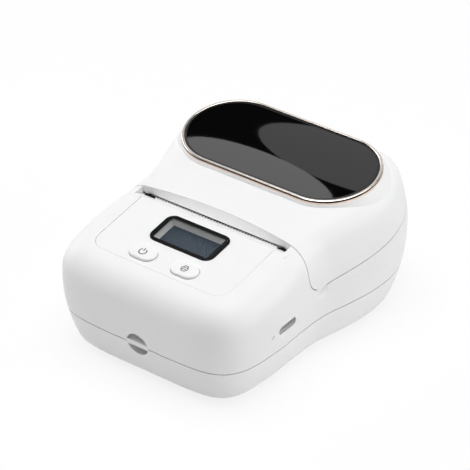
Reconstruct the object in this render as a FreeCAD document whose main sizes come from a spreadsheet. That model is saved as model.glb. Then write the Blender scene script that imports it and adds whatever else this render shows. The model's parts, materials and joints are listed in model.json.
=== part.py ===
import FreeCAD, Part
import math
import os

import Sketcher

V = FreeCAD.Vector
doc = FreeCAD.newDocument("label_printer")
sheet = doc.addObject("Spreadsheet::Sheet", "Sizes")

# Driving sizes, in millimetres and degrees
SIZES = (
    ("overall_length", 103.0, "front face to back of hinge barrel"),
    ("front_half_width", 36.4, "half width of the front block"),
    ("rear_half_width", 41.6, "half width around the roll bay"),
    ("waist_depth", 1.5, "narrowing of each side at the lid seam"),
    ("neck_depth", 3.0, "further narrowing towards the top"),
    ("waist_setback", 54.0, "front face to narrowest place"),
    ("waist_reach", 13.0, "length over which the waist fades"),
    ("front_power", 6.0, "squareness of the front corners in plan"),
    ("rear_power", 3.7, "squareness of the rear corners in plan"),
    ("foot_height", 1.0, "floor to underside of the base"),
    ("widest_height", 24.0, "height at which the sides are widest"),
    ("base_draft", 4.4, "inward lean of the sides at the base"),
    ("top_draft", 8.0, "inward lean of the sides at the loft top"),
    ("loft_height", 54.0, "height at which the side loft ends"),
    ("panel_height", 38.1, "height of the sloping top at the display"),
    ("top_slope", 8.5, "slope of the top towards the front"),
    ("nose_setback", 9.0, "front face to start of nose round"),
    ("nose_radius", 18.0, "round over the front"),
    ("tail_setback", 19.0, "rear face to start of tail round"),
    ("tail_radius", 17.0, "round over the rear"),
    ("shoulder_radius", 9.0, "round between top and sides"),
    ("base_radius", 5.0, "round around the base"),
    ("wall", 2.2, "wall of the casing"),
    ("parting_height", 14.0, "height of the line between the shells"),
    ("parting_gap", 0.35, "height of the shadow groove"),
    ("parting_inset", 0.8, "depth of the shadow groove"),
    ("display_setback", 26.7, "front face to display centre"),
    ("mouth_setback", 39.5, "front face to the paper mouth"),
    ("mouth_half_width", 28.0, "half width of the paper mouth"),
    ("mouth_sag", 2.4, "bow of the lid lip"),
    ("bevel_run", 4.3, "length of the slope down to the tear bar"),
    ("tear_reveal", 0.5, "strip of the tear bar in front of its teeth"),
    ("lip_bottom", 35.2, "underside of the mouth lip"),
    ("lip_depth", 5.2, "front to back size of the mouth lip"),
    ("seam_height", 24.4, "height of the side seam behind the ear"),
    ("ear_reach", 6.5, "mouth to the rear of the ear curve"),
    ("ear_radius", 5.6, "curve of the ear"),
    ("lid_gap", 0.3, "gap along the lid seam"),
    ("lid_lip_bottom", 35.9, "underside of the lid lip"),
    ("lip_clearance", 0.35, "lid lip to the tear bar"),
    ("lid_lip_wall", 1.6, "thickness of the lid lip"),
    ("lid_rib", 1.2, "thickness of the lid ribs"),
    ("lid_rib_depth", 1.6, "height of the lid ribs"),
    ("lid_rib_x", 20.0, "lid ribs from the middle"),
    ("scoop_radius", 6.5, "finger scoop under the ear"),
    ("scoop_offset", 5.0, "scoop centre outside the front half width"),
    ("scoop_height", 24.0, "height of the scoop centre"),
    ("barrel_radius", 2.4, "hinge barrel"),
    ("barrel_sink", 0.9, "hinge axis inside the rear face"),
    ("barrel_middle", 12.0, "half length of the lid barrel"),
    ("barrel_end", 20.0, "outer end of the body barrels"),
    ("barrel_gap", 0.35, "clearance around the hinge barrels"),
    ("hinge_pin_radius", 1.0, "hinge pin"),
    ("running_gap", 0.05, "clearance of pins that turn in holes"),
    ("lanyard_height", 14.0, "height of the lanyard hole"),
    ("lanyard_radius", 3.9, "lanyard hole"),
    ("lanyard_depth", 5.8, "front face to bottom of the lanyard hole"),
    ("lanyard_wall", 1.4, "wall around the lanyard hole"),
    ("lanyard_bar", 1.7, "height of the bar across the hole"),
    ("lanyard_bar_depth", 1.7, "front to back size of the bar"),
    ("foot_radius", 4.0, "rubber foot"),
    ("foot_recess", 0.5, "depth of the foot recess"),
    ("foot_front_x", 22.0, "front feet from the middle"),
    ("foot_front_setback", 21.5, "front face to front feet"),
    ("foot_rear_x", 24.0, "rear feet from the middle"),
    ("foot_rear_setback", 24.0, "rear face to rear feet"),
    ("screw_radius", 1.1, "case screw shank"),
    ("screw_head_radius", 2.0, "case screw head"),
    ("screw_head_height", 1.1, "case screw head height"),
    ("screw_length", 5.4, "case screw shank length"),
    ("screw_front_x", 23.0, "front screws from the middle"),
    ("screw_front_setback", 13.5, "front face to front screws"),
    ("screw_rear_x", 22.0, "rear screws from the middle"),
    ("screw_rear_setback", 15.0, "rear face to rear screws"),
    ("column_radius", 2.6, "screw column of the upper shell"),
    ("panel_half_width", 25.0, "control panel insert half width"),
    ("panel_front", 17.3, "display centre to panel front edge"),
    ("panel_corner", 5.0, "control panel corner"),
    ("panel_thickness", 1.2, "control panel insert"),
    ("panel_gap", 0.08, "groove around the panel insert"),
    ("panel_edge", 0.25, "rounded edge of the panel insert"),
    ("bezel_length", 23.6, "display bezel across"),
    ("bezel_width", 12.6, "display bezel front to back"),
    ("bezel_corner", 3.0, "display bezel corner"),
    ("bezel_rise", 0.3, "bezel above the panel"),
    ("bezel_edge", 0.18, "rounded edges of the bezel"),
    ("bezel_seat", 0.25, "underside of the bezel below the panel top"),
    ("bezel_border_x", 1.15, "bezel border at the ends"),
    ("bezel_border_y", 0.85, "bezel border front and back"),
    ("window_thickness", 0.4, "clear display window"),
    ("window_ledge", 0.35, "ledge of the light frame under the window"),
    ("light_frame_depth", 1.0, "light frame below its flange"),
    ("light_frame_taper", 20.0, "slope of the light frame walls"),
    ("glass_thickness", 3.4, "display glass with its back light"),
    ("panel_board_thickness", 1.2, "panel board"),
    ("panel_board_half_width", 19.4, "panel board half width"),
    ("button_x", 7.8, "buttons from the middle"),
    ("button_forward", 12.54, "display centre to button centres"),
    ("button_length", 9.3, "button across"),
    ("button_width", 6.1, "button front to back"),
    ("button_rise", 0.85, "button above the panel"),
    ("button_gap", 0.15, "clearance around a button"),
    ("button_flange", 0.7, "flange that keeps a button in"),
    ("button_travel", 0.7, "press of a button"),
    ("stem_radius", 1.4, "button stem"),
    ("switch_size", 6.0, "tactile switch"),
    ("switch_height", 1.6, "tactile switch height"),
    ("oval_straight", 36.4, "straight part of the lid oval"),
    ("oval_radius", 16.5, "end radius of the lid oval"),
    ("oval_setback", 28.4, "rear face to oval centre"),
    ("oval_seat", 0.6, "oval seat above the lid plane"),
    ("oval_rise", 1.9, "trim top above the lid plane"),
    ("trim_width", 1.1, "trim ring width"),
    ("oval_gap", 0.05, "gap between trim and oval plate"),
    ("oval_crown", 0.45, "crown of the oval plate"),
    ("plinth_margin", 0.4, "plinth edge outside the trim"),
    ("plinth_flare", 3.6, "flare of the plinth foot"),
    ("plinth_drop", 7.0, "height of the plinth flare"),
    ("platen_offset", 7.0, "mouth to platen axis"),
    ("platen_height", 30.4, "height of the platen axis"),
    ("platen_radius", 4.5, "platen rubber"),
    ("platen_half_length", 25.6, "platen rubber half length"),
    ("shaft_radius", 1.5, "platen shaft"),
    ("bush_radius", 2.3, "platen bush"),
    ("bush_slot_gap", 0.2, "bush clearance in the frame slot"),
    ("bracket_inner", 26.2, "inner face of the platen brackets"),
    ("bracket_thickness", 1.6, "platen bracket"),
    ("frame_inner", 28.1, "inner face of the frame sides"),
    ("frame_sheet", 1.0, "mechanism frame sheet"),
    ("frame_front", 6.5, "mouth to frame front face"),
    ("frame_back", 13.0, "mouth to frame rear edge"),
    ("frame_top", 33.2, "top of the frame sides"),
    ("frame_bottom", 6.0, "underside of the frame feet"),
    ("gear_module", 0.5, "gear module of the drive"),
    ("gear_width", 2.0, "gear face width"),
    ("gear_clearance", 0.4, "frame or bush to gear"),
    ("backlash", 0.12, "gear backlash"),
    ("idler_pin_radius", 1.0, "idler pin"),
    ("pinion_swing", 32.0, "pinion place around the idler"),
    ("motor_radius", 7.0, "motor"),
    ("motor_length", 13.0, "motor length"),
    ("motor_shaft_radius", 0.75, "motor shaft"),
    ("head_gap", 0.3, "print head to platen"),
    ("head_half_length", 26.5, "print head half length"),
    ("ceramic_thickness", 0.9, "print head ceramic"),
    ("sink_thickness", 3.2, "print head heat sink"),
    ("sink_bottom", 21.6, "underside of the heat sink"),
    ("sink_top", 34.0, "top of the heat sink"),
    ("head_pin_height", 23.2, "height of the head pivot"),
    ("head_pin_radius", 1.0, "head pivot pin"),
    ("spring_height", 30.6, "height of the spring nose"),
    ("spring_sheet", 0.35, "leaf spring thickness"),
    ("spring_width", 8.0, "leaf spring width"),
    ("spring_x", 14.0, "leaf springs from the middle"),
    ("tear_top", 37.1, "top of the tear bar"),
    ("tear_sheet", 0.6, "tear bar thickness"),
    ("tear_depth", 3.0, "tear bar without teeth"),
    ("tear_tooth", 1.1, "tear tooth length"),
    ("tear_pitch", 1.08, "tear tooth pitch"),
    ("bay_offset", 34.6, "mouth to roll axis"),
    ("bay_height", 23.2, "height of the roll axis"),
    ("bay_radius", 19.0, "roll space"),
    ("bay_half_width", 28.6, "roll space half width"),
    ("tub_wall", 1.4, "roll tub wall"),
    ("tub_rim", 24.0, "top of the roll tub"),
    ("tub_margin", 0.5, "tub to casing wall"),
    ("guide_inner", 25.4, "guide inner face when open"),
    ("guide_thickness", 2.0, "guide plate"),
    ("guide_radius", 15.0, "guide disc"),
    ("core_radius", 5.5, "core boss of a guide"),
    ("core_length", 4.0, "core boss length"),
    ("rack_module", 0.4, "module of the guide racks"),
    ("rack_back", 1.3, "rack bar behind the teeth"),
    ("rack_height", 1.6, "rack bar height"),
    ("rack_lift", 0.8, "rack above the tub floor"),
    ("rack_gap", 0.2, "rack to tub wall"),
    ("rack_overlap", 3.2, "rack beyond the pinion when open"),
    ("pinion_post_radius", 0.6, "post of the guide pinion"),
    ("keeper_thickness", 1.0, "strap over the guide pinion"),
    ("board_half_width", 31.0, "main board half width"),
    ("board_front", 8.0, "front face to main board"),
    ("board_length", 24.0, "main board front to back"),
    ("board_bottom", 18.0, "underside of the main board"),
    ("board_thickness", 1.6, "main board"),
    ("board_corner", 2.0, "main board corner"),
    ("battery_half_width", 19.0, "battery half width"),
    ("battery_front", 9.0, "front face to battery"),
    ("battery_length", 22.0, "battery front to back"),
    ("battery_height", 10.0, "battery height"),
    ("battery_corner", 2.0, "battery corner"),
    ("usb_setback", 27.0, "front face to socket centre"),
    ("usb_length", 9.0, "socket across"),
    ("usb_height", 3.2, "socket height"),
    ("usb_depth", 6.7, "socket depth"),
    ("usb_sheet", 0.35, "socket sheet"),
    ("usb_recess", 1.05, "socket behind the side wall"),
    ("usb_gap", 0.15, "wall opening around the socket mouth"),
    ("usb_room_gap", 0.25, "room around the socket shell"),
    ("lamp_setback", 20.0, "front face to charge light"),
    ("lamp_radius", 0.5, "charge light pipe"),
    ("sensor_x", 6.0, "paper sensor from the middle"),
    ("sensor_length", 8.0, "paper sensor across"),
    ("sensor_depth", 2.0, "paper sensor front to back"),
    ("sensor_height", 2.2, "paper sensor height"),
)
PLATEN_TEETH = 16
IDLER_TEETH = 24
PINION_TEETH = 10
GUIDE_TEETH = 8
TEAR_TEETH = 50


class Size:
    """A length that keeps the text that drives it beside its number."""

    def __init__(self, text, number):
        self.text = text
        self.number = number

    def __add__(self, other):
        other = size_of(other)
        return Size("(%s + %s)" % (self.text, other.text), self.number + other.number)

    def __radd__(self, other):
        return size_of(other) + self

    def __sub__(self, other):
        other = size_of(other)
        return Size("(%s - %s)" % (self.text, other.text), self.number - other.number)

    def __rsub__(self, other):
        return size_of(other) - self

    def __mul__(self, other):
        other = size_of(other)
        return Size("(%s * %s)" % (self.text, other.text), self.number * other.number)

    def __rmul__(self, other):
        return size_of(other) * self

    def __truediv__(self, other):
        other = size_of(other)
        return Size("(%s / %s)" % (self.text, other.text), self.number / other.number)

    def __neg__(self):
        return Size("(0 - %s)" % self.text, -self.number)


def size_of(value):
    if isinstance(value, Size):
        return value
    if value < 0:
        return Size("(0 - %r)" % abs(float(value)), float(value))
    return Size("%r" % float(value), float(value))


def wave_of(name, angle):
    """Sine, cosine or tangent of an angle in degrees."""
    work = {"sin": math.sin, "cos": math.cos, "tan": math.tan}[name]
    return Size("%s(%s)" % (name, angle.text), work(math.radians(angle.number)))


class Sheet:
    """The driving sizes by name."""


d = Sheet()
for row, (alias, number, note) in enumerate(SIZES, start=1):
    sheet.set("A%d" % row, alias)
    sheet.set("B%d" % row, str(number))
    sheet.set("C%d" % row, note)
    sheet.setAlias("B%d" % row, alias)
    setattr(d, alias, Size("Sizes.%s" % alias, number))
doc.recompute()

# Places that follow from the driving sizes
rise = wave_of("tan", d.top_slope)
lean = wave_of("cos", d.top_slope)
front_y = -d.overall_length / 2
rear_y = d.overall_length / 2 - d.barrel_radius + d.barrel_sink
hinge_y = d.overall_length / 2 - d.barrel_radius
display_y = front_y + d.display_setback
mouth_y = front_y + d.mouth_setback
ear_y = mouth_y + d.ear_reach
floor_z = d.foot_height + d.wall
screw_top = d.foot_height + d.screw_head_height + 0.1
screw_tip = screw_top + d.screw_length
hinge_z = d.seam_height + rise * (hinge_y - ear_y)
oval_y = rear_y - d.oval_setback
platen_y = mouth_y + d.platen_offset
bay_y = mouth_y + d.bay_offset
FAR = 90.0


def top_z(y):
    return d.panel_height + rise * (y - display_y)


def seam_z(y):
    return d.seam_height + rise * (y - ear_y)


# Ways of drawing
def tie(item, field, size):
    item.setExpression(field, size_of(size).text)


def box(label, x, y, z):
    item = doc.addObject("Part::Box", label)
    for field, span in (("Length", x), ("Width", y), ("Height", z)):
        tie(item, field, size_of(span[1]) - size_of(span[0]))
    for axis, span in zip("xyz", (x, y, z)):
        tie(item, "Placement.Base.%s" % axis, span[0])
    return item


TURNS = {
    "x": FreeCAD.Rotation(V(0, 1, 0), 90),
    "y": FreeCAD.Rotation(V(1, 0, 0), -90),
    "z": FreeCAD.Rotation(),
}


def rod(label, axis, radius, span, first, second):
    """A round bar along an axis; first and second are its other two places in order."""
    item = doc.addObject("Part::Cylinder", label)
    item.Placement = FreeCAD.Placement(V(), TURNS[axis])
    tie(item, "Radius", radius)
    tie(item, "Height", size_of(span[1]) - size_of(span[0]))
    others = [name for name in "xyz" if name != axis]
    tie(item, "Placement.Base.%s" % axis, span[0])
    tie(item, "Placement.Base.%s" % others[0], first)
    tie(item, "Placement.Base.%s" % others[1], second)
    return item


def fuse(label, *items):
    item = doc.addObject("Part::MultiFuse", label)
    item.Shapes = list(items)
    item.Refine = False
    return item


def cut(label, base, tool):
    item = doc.addObject("Part::Cut", label)
    item.Base = base
    item.Tool = tool
    item.Refine = False
    return item


def common(label, *items):
    item = doc.addObject("Part::MultiCommon", label)
    item.Shapes = list(items)
    item.Refine = False
    return item


def plain(label, shape):
    item = doc.addObject("Part::Feature", label)
    item.Shape = shape
    return item


def new_sketch(body, name, plane):
    sketch = body.newObject("Sketcher::SketchObject", name)
    for feature in body.Origin.OriginFeatures:
        if feature.Role == plane:
            sketch.AttachmentSupport = [(feature, "")]
    sketch.MapMode = "FlatFace"
    return sketch


def hold(sketch, kind, *values):
    """A size of a sketch, tied to the last value."""
    size = size_of(values[-1])
    index = sketch.addConstraint(Sketcher.Constraint(kind, *values[:-1], size.number))
    tie(sketch, "Constraints[%d]" % index, size)


def pad(body, sketch, lo, hi):
    tie(sketch, "AttachmentOffset.Base.z", lo)
    feature = body.newObject("PartDesign::Pad", body.Name + "_pad")
    feature.Profile = sketch
    tie(feature, "Length", size_of(hi) - size_of(lo))
    return feature


def seat_on_top(body, y):
    """Puts a body on the sloping top, with its own Z square to the slope."""
    body.Placement = FreeCAD.Placement(V(), FreeCAD.Rotation(V(1, 0, 0), d.top_slope.number))
    tie(body, "Placement.Rotation.Angle", d.top_slope)
    tie(body, "Placement.Base.y", y)
    tie(body, "Placement.Base.z", top_z(y))


def rounded_outline(sketch, cx, cy, length, width, corner):
    x0, x1 = (size_of(cx) - length / 2).number, (size_of(cx) + length / 2).number
    y0, y1 = (size_of(cy) - width / 2).number, (size_of(cy) + width / 2).number
    r = size_of(corner).number
    up = V(0, 0, 1)
    places = ((x1 - r, y0 + r, -90), (x1 - r, y1 - r, 0), (x0 + r, y1 - r, 90), (x0 + r, y0 + r, 180))
    ends = (
        (V(x0 + r, y0, 0), V(x1 - r, y0, 0)),
        (V(x1, y0 + r, 0), V(x1, y1 - r, 0)),
        (V(x1 - r, y1, 0), V(x0 + r, y1, 0)),
        (V(x0, y1 - r, 0), V(x0, y0 + r, 0)),
    )
    for (start, end), (px, py, turn) in zip(ends, places):
        sketch.addGeometry(Part.LineSegment(start, end), False)
        ring = Part.Circle(V(px, py, 0), up, r)
        sketch.addGeometry(Part.ArcOfCircle(ring, math.radians(turn), math.radians(turn + 90)), False)
    for index in range(8):
        sketch.addConstraint(Sketcher.Constraint("Tangent", index, 2, (index + 1) % 8, 1))
    for index, kind in ((0, "Horizontal"), (2, "Vertical"), (4, "Horizontal"), (6, "Vertical")):
        sketch.addConstraint(Sketcher.Constraint(kind, index))
    for index in (3, 5, 7):
        sketch.addConstraint(Sketcher.Constraint("Equal", 1, index))
    hold(sketch, "Radius", 1, corner)
    hold(sketch, "DistanceX", 6, 1, 2, 1, length)
    hold(sketch, "DistanceY", 0, 1, 4, 1, width)
    hold(sketch, "DistanceX", -1, 1, 6, 1, size_of(cx) - size_of(length) / 2)
    hold(sketch, "DistanceY", -1, 1, 0, 1, size_of(cy) - size_of(width) / 2)


def stadium_outline(sketch, cx, cy, length, width):
    r = (size_of(width) / 2).number
    half = ((size_of(length) - width) / 2).number
    x, y = size_of(cx).number, size_of(cy).number
    up = V(0, 0, 1)
    sketch.addGeometry(Part.LineSegment(V(x - half, y - r, 0), V(x + half, y - r, 0)), False)
    right = Part.Circle(V(x + half, y, 0), up, r)
    sketch.addGeometry(Part.ArcOfCircle(right, -math.pi / 2, math.pi / 2), False)
    sketch.addGeometry(Part.LineSegment(V(x + half, y + r, 0), V(x - half, y + r, 0)), False)
    left = Part.Circle(V(x - half, y, 0), up, r)
    sketch.addGeometry(Part.ArcOfCircle(left, math.pi / 2, math.pi * 1.5), False)
    for index in range(4):
        sketch.addConstraint(Sketcher.Constraint("Tangent", index, 2, (index + 1) % 4, 1))
    sketch.addConstraint(Sketcher.Constraint("Horizontal", 0))
    sketch.addConstraint(Sketcher.Constraint("Horizontal", 2))
    hold(sketch, "Radius", 1, size_of(width) / 2)
    hold(sketch, "DistanceX", 0, 1, 0, 2, size_of(length) - width)
    hold(sketch, "DistanceX", -1, 1, 0, 1, size_of(cx) - (size_of(length) - width) / 2)
    hold(sketch, "DistanceY", -1, 1, 0, 1, size_of(cy) - size_of(width) / 2)


def rounded_plate(label, cx, cy, length, width, corner, lo, hi, plane="XY_Plane"):
    body = doc.addObject("PartDesign::Body", label)
    sketch = new_sketch(body, label + "_outline", plane)
    rounded_outline(sketch, cx, cy, length, width, corner)
    pad(body, sketch, lo, hi)
    return body


def stadium_plate(label, cx, cy, length, width, lo, hi, plane="XY_Plane"):
    body = doc.addObject("PartDesign::Body", label)
    sketch = new_sketch(body, label + "_outline", plane)
    stadium_outline(sketch, cx, cy, length, width)
    pad(body, sketch, lo, hi)
    return body


def prism(label, points, span):
    """A block with a cornered outline in Y and Z, drawn out along X."""
    body = doc.addObject("PartDesign::Body", label)
    sketch = new_sketch(body, label + "_outline", "YZ_Plane")
    count = len(points)
    spots = [V(size_of(y).number, size_of(z).number, 0) for y, z in points]
    for index in range(count):
        sketch.addGeometry(Part.LineSegment(spots[index], spots[(index + 1) % count]), False)
    for index in range(count):
        sketch.addConstraint(Sketcher.Constraint("Coincident", index, 2, (index + 1) % count, 1))
    for index, (y, z) in enumerate(points):
        hold(sketch, "DistanceX", -1, 1, index, 1, y)
        hold(sketch, "DistanceY", -1, 1, index, 1, z)
    pad(body, sketch, span[0], span[1])
    return body


# Casing envelope: lofted sides, sloping top with round nose and tail, blended shoulders
def smooth(lo, hi, t):
    t = max(0.0, min(1.0, (t - lo) / (hi - lo)))
    return t * t * (3.0 - 2.0 * t)


def plan_outline(z, inset, count=40):
    front, rear = front_y.number, rear_y.number
    middle = (front + rear) / 2
    half = (rear - front) / 2
    wide_from = front + d.display_setback.number
    wide_to = rear - d.oval_setback.number
    height = (z - d.foot_height.number) / (d.panel_height.number - d.foot_height.number)
    waist = d.waist_depth.number + d.neck_depth.number * max(0.0, height) ** 2
    if z < d.widest_height.number:
        share = (d.widest_height.number - z) / (d.widest_height.number - d.foot_height.number)
        inset = inset + d.base_draft.number * share ** 2
    else:
        share = (z - d.widest_height.number) / (d.loft_height.number - d.widest_height.number)
        inset = inset + d.top_draft.number * share ** 2
    points = []
    for index in range(count):
        turn = 2 * math.pi * index / count
        c, s = math.cos(turn), math.sin(turn)
        power = d.front_power.number
        power = power + (d.rear_power.number - power) * smooth(-0.6, 0.6, s)
        y = middle + (half - inset) * math.copysign(abs(s) ** (2 / power), s)
        width = d.front_half_width.number
        width = width + (d.rear_half_width.number - width) * smooth(wide_from, wide_to, y)
        dip = (y - front - d.waist_setback.number) / d.waist_reach.number
        width = width - waist * math.exp(-dip * dip)
        x = (width - inset) * math.copysign(abs(c) ** (2 / power), c)
        points.append(V(x, y, z))
    curve = Part.BSplineCurve()
    curve.interpolate(points, PeriodicFlag=True)
    return Part.Wire([curve.toShape()])


def side_loft(inset, low, high):
    steps = 7
    heights = [low + (high - low) * index / (steps - 1) for index in range(steps)]
    return Part.makeLoft([plan_outline(z, inset) for z in heights], True, False)


def top_profile(inset, low):
    slope = math.radians(d.top_slope.number)
    along = V(0, math.cos(slope), math.sin(slope))
    normal = V(0, -math.sin(slope), math.cos(slope))
    anchor = V(0, display_y.number, d.panel_height.number) - normal * inset

    def on_top(y):
        return anchor + along * ((y - anchor.y) / along.y)

    def spin(centre, radius, angle):
        return centre + V(0, math.cos(angle), math.sin(angle)) * radius

    nose = on_top(front_y.number + d.nose_setback.number)
    tail = on_top(rear_y.number - d.tail_setback.number)
    nose_r = d.nose_radius.number - inset
    tail_r = d.tail_radius.number - inset
    nose_c = nose - normal * nose_r
    tail_c = tail - normal * tail_r
    top_turn = slope + math.pi / 2
    nose_end = spin(nose_c, nose_r, top_turn + math.radians(62))
    nose_mid = spin(nose_c, nose_r, top_turn + math.radians(31))
    tail_end = spin(tail_c, tail_r, top_turn - math.radians(64))
    tail_mid = spin(tail_c, tail_r, top_turn - math.radians(32))
    nose_run = V(0, -math.sin(top_turn + math.radians(62)), math.cos(top_turn + math.radians(62)))
    tail_run = V(0, math.sin(top_turn - math.radians(64)), -math.cos(top_turn - math.radians(64)))
    nose_far = nose_end + nose_run * 40
    tail_far = tail_end + tail_run * 40
    edges = [
        Part.makeLine(nose_far, nose_end),
        Part.Arc(nose_end, nose_mid, nose).toShape(),
        Part.makeLine(nose, tail),
        Part.Arc(tail, tail_mid, tail_end).toShape(),
        Part.makeLine(tail_end, tail_far),
        Part.makeLine(tail_far, V(0, tail_far.y, low - 40)),
        Part.makeLine(V(0, tail_far.y, low - 40), V(0, nose_far.y, low - 40)),
        Part.makeLine(V(0, nose_far.y, low - 40), nose_far),
    ]
    face = Part.Face(Part.Wire(edges))
    block = face.extrude(V(2 * FAR, 0, 0))
    block.translate(V(-FAR, 0, 0))
    return block


def envelope(inset, low, shoulder, base):
    solid = side_loft(inset, low, d.loft_height.number).common(top_profile(inset, low))
    solid = solid.Solids[0]
    tops = []
    bottoms = []
    for edge in solid.Edges:
        owners = solid.ancestorsOfType(edge, Part.Face)
        curved = [one for one in owners if "BSpline" in one.Surface.TypeId]
        if edge.BoundBox.ZMin > low + 5 and len(owners) == 2 and len(curved) == 1:
            tops.append(edge)
        if edge.BoundBox.ZMax < low + 0.1 and len(owners) == 2 and len(curved) == 1:
            bottoms.append(edge)
    solid = solid.makeFillet(shoulder, tops)
    if base > 0:
        solid = solid.makeFillet(base, [
            edge for edge in solid.Edges
            if edge.BoundBox.ZMax < low + 0.1 and edge.Length > 5
        ])
    return solid.Solids[0]


outer = plain("casing_outer", envelope(
    0.0, d.foot_height.number, d.shoulder_radius.number, d.base_radius.number))
inner = plain("casing_inner", envelope(
    d.wall.number, floor_z.number, (d.shoulder_radius - d.wall).number, 0.0))
groove_core = plain("groove_core", side_loft(
    d.parting_inset.number, d.parting_height.number - 2, d.parting_height.number + 2))
tub_core = plain("tub_core", side_loft(
    (d.wall + d.tub_margin).number, floor_z.number, d.tub_rim.number + 2))

# Shared cutting shapes
lower_zone = box("lower_zone", (-FAR, FAR), (-FAR, FAR), (-FAR, d.parting_height))
upper_zone = box("upper_zone", (-FAR, FAR), (-FAR, FAR), (d.parting_height, FAR))


def lid_zone(label, gap):
    """Space of the lid: behind the mouth and above the side seam, with the ear curve."""
    body = prism(label, (
        (mouth_y + gap, FAR),
        (mouth_y + gap, seam_z(mouth_y + gap) + size_of(gap) / lean),
        (rear_y + 20, seam_z(rear_y + 20) + size_of(gap) / lean),
        (rear_y + 20, FAR),
    ), (-FAR, FAR))
    doc.recompute()
    corner = V(0, (mouth_y + gap).number, (seam_z(mouth_y + gap) + size_of(gap) / lean).number)
    block = body.Tip
    names = []
    for index, edge in enumerate(block.Shape.Edges, start=1):
        if edge.CenterOfMass.distanceToPoint(corner) < 0.01:
            names.append("Edge%d" % index)
    curve = body.newObject("PartDesign::Fillet", label + "_ear")
    curve.Base = (block, names)
    tie(curve, "Radius", d.ear_radius - gap)
    body.Tip = curve
    return body


lid_space = lid_zone("lid_space", 0.0)
lid_room = lid_zone("lid_room", d.lid_gap)

bevel = prism("mouth_bevel", (
    (mouth_y - d.bevel_run, top_z(mouth_y - d.bevel_run)),
    (mouth_y - d.tear_reveal, d.tear_top),
    (mouth_y + 3, d.tear_top),
    (mouth_y + 3, FAR),
    (mouth_y - d.bevel_run, FAR),
), (-d.mouth_half_width, d.mouth_half_width))

lanyard_well = rod("lanyard_well", "y", d.lanyard_radius, (-FAR, front_y + d.lanyard_depth),
                   0.0, d.lanyard_height)
lanyard_bar = box("lanyard_bar_room", (-d.lanyard_radius - 1, d.lanyard_radius + 1),
                  (-FAR - 1, front_y + 1.0 + d.lanyard_bar_depth),
                  (d.lanyard_height - d.lanyard_bar / 2, d.lanyard_height + d.lanyard_bar / 2))
lanyard_hole = cut("lanyard_hole", lanyard_well, lanyard_bar)
lanyard_boss = rod("lanyard_boss", "y", d.lanyard_radius + d.lanyard_wall,
                   (front_y + d.wall, front_y + d.lanyard_depth + d.lanyard_wall), 0.0, d.lanyard_height)


def four(label, make):
    """The same piece at the two front and the two rear places."""
    return fuse(label, *[make("%s_%d" % (label, index), index) for index in range(4)])


foot_places = (
    (-d.foot_front_x, front_y + d.foot_front_setback),
    (d.foot_front_x, front_y + d.foot_front_setback),
    (-d.foot_rear_x, rear_y - d.foot_rear_setback),
    (d.foot_rear_x, rear_y - d.foot_rear_setback),
)
screw_places = (
    (-d.screw_front_x, front_y + d.screw_front_setback),
    (d.screw_front_x, front_y + d.screw_front_setback),
    (-d.screw_rear_x, rear_y - d.screw_rear_setback),
    (d.screw_rear_x, rear_y - d.screw_rear_setback),
)

# Lower shell
groove_slab = box("groove_slab", (-FAR, FAR), (-FAR, FAR),
                  (d.parting_height - d.parting_gap, d.parting_height + 1))
groove_bridge = box("groove_bridge", (-d.lanyard_radius, d.lanyard_radius), (-FAR - 1, 0.0), (0.0, FAR))
groove = cut("parting_groove", groove_slab, fuse("groove_keep", groove_core, groove_bridge))
lower_blank = common("lower_blank", outer, lower_zone)
lower_stepped = cut("lower_stepped", lower_blank, groove)
lower_tray = cut("lower_tray", lower_stepped, inner)
board_rest_y = front_y + d.board_front + d.board_length / 2
rests = [box("board_rest_%d" % side, sorted_span, (board_rest_y, board_rest_y + 3),
             (floor_z - 0.6, d.board_bottom))
         for side, sorted_span in (
             (0, (d.battery_half_width + 9.0, d.battery_half_width + 11.0)),
             (1, (-d.battery_half_width - 11.0, -d.battery_half_width - 9.0)))]
frame_pads = [box("frame_pad_%d" % side, span, (mouth_y - d.frame_front + 1.0, mouth_y - d.frame_front + 4.0),
                  (floor_z - 0.6, d.frame_bottom))
              for side, span in (
                  (0, (d.frame_inner - 5.6, d.frame_inner - 0.6)),
                  (1, (0.6 - d.frame_inner, 5.6 - d.frame_inner)))]
half_boss = common("lanyard_boss_low", lanyard_boss, lower_zone)
lower_solid = fuse("lower_solid", lower_tray, half_boss, *rests, *frame_pads)
foot_holes = four("foot_holes", lambda name, index: rod(
    name, "z", d.foot_radius + 0.1, (0.0, d.foot_height + d.foot_recess), *foot_places[index]))
head_holes = four("head_holes", lambda name, index: rod(
    name, "z", d.screw_head_radius + 0.2, (0.0, d.foot_height + d.screw_head_height + 0.1),
    *screw_places[index]))
shank_holes = four("shank_holes", lambda name, index: rod(
    name, "z", d.screw_radius + 0.2, (0.0, floor_z + 0.5), *screw_places[index]))
lower_tools = fuse("lower_tools", lanyard_hole, foot_holes, head_holes, shank_holes)
lower_shell = cut("lower_shell", lower_solid, lower_tools)

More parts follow.
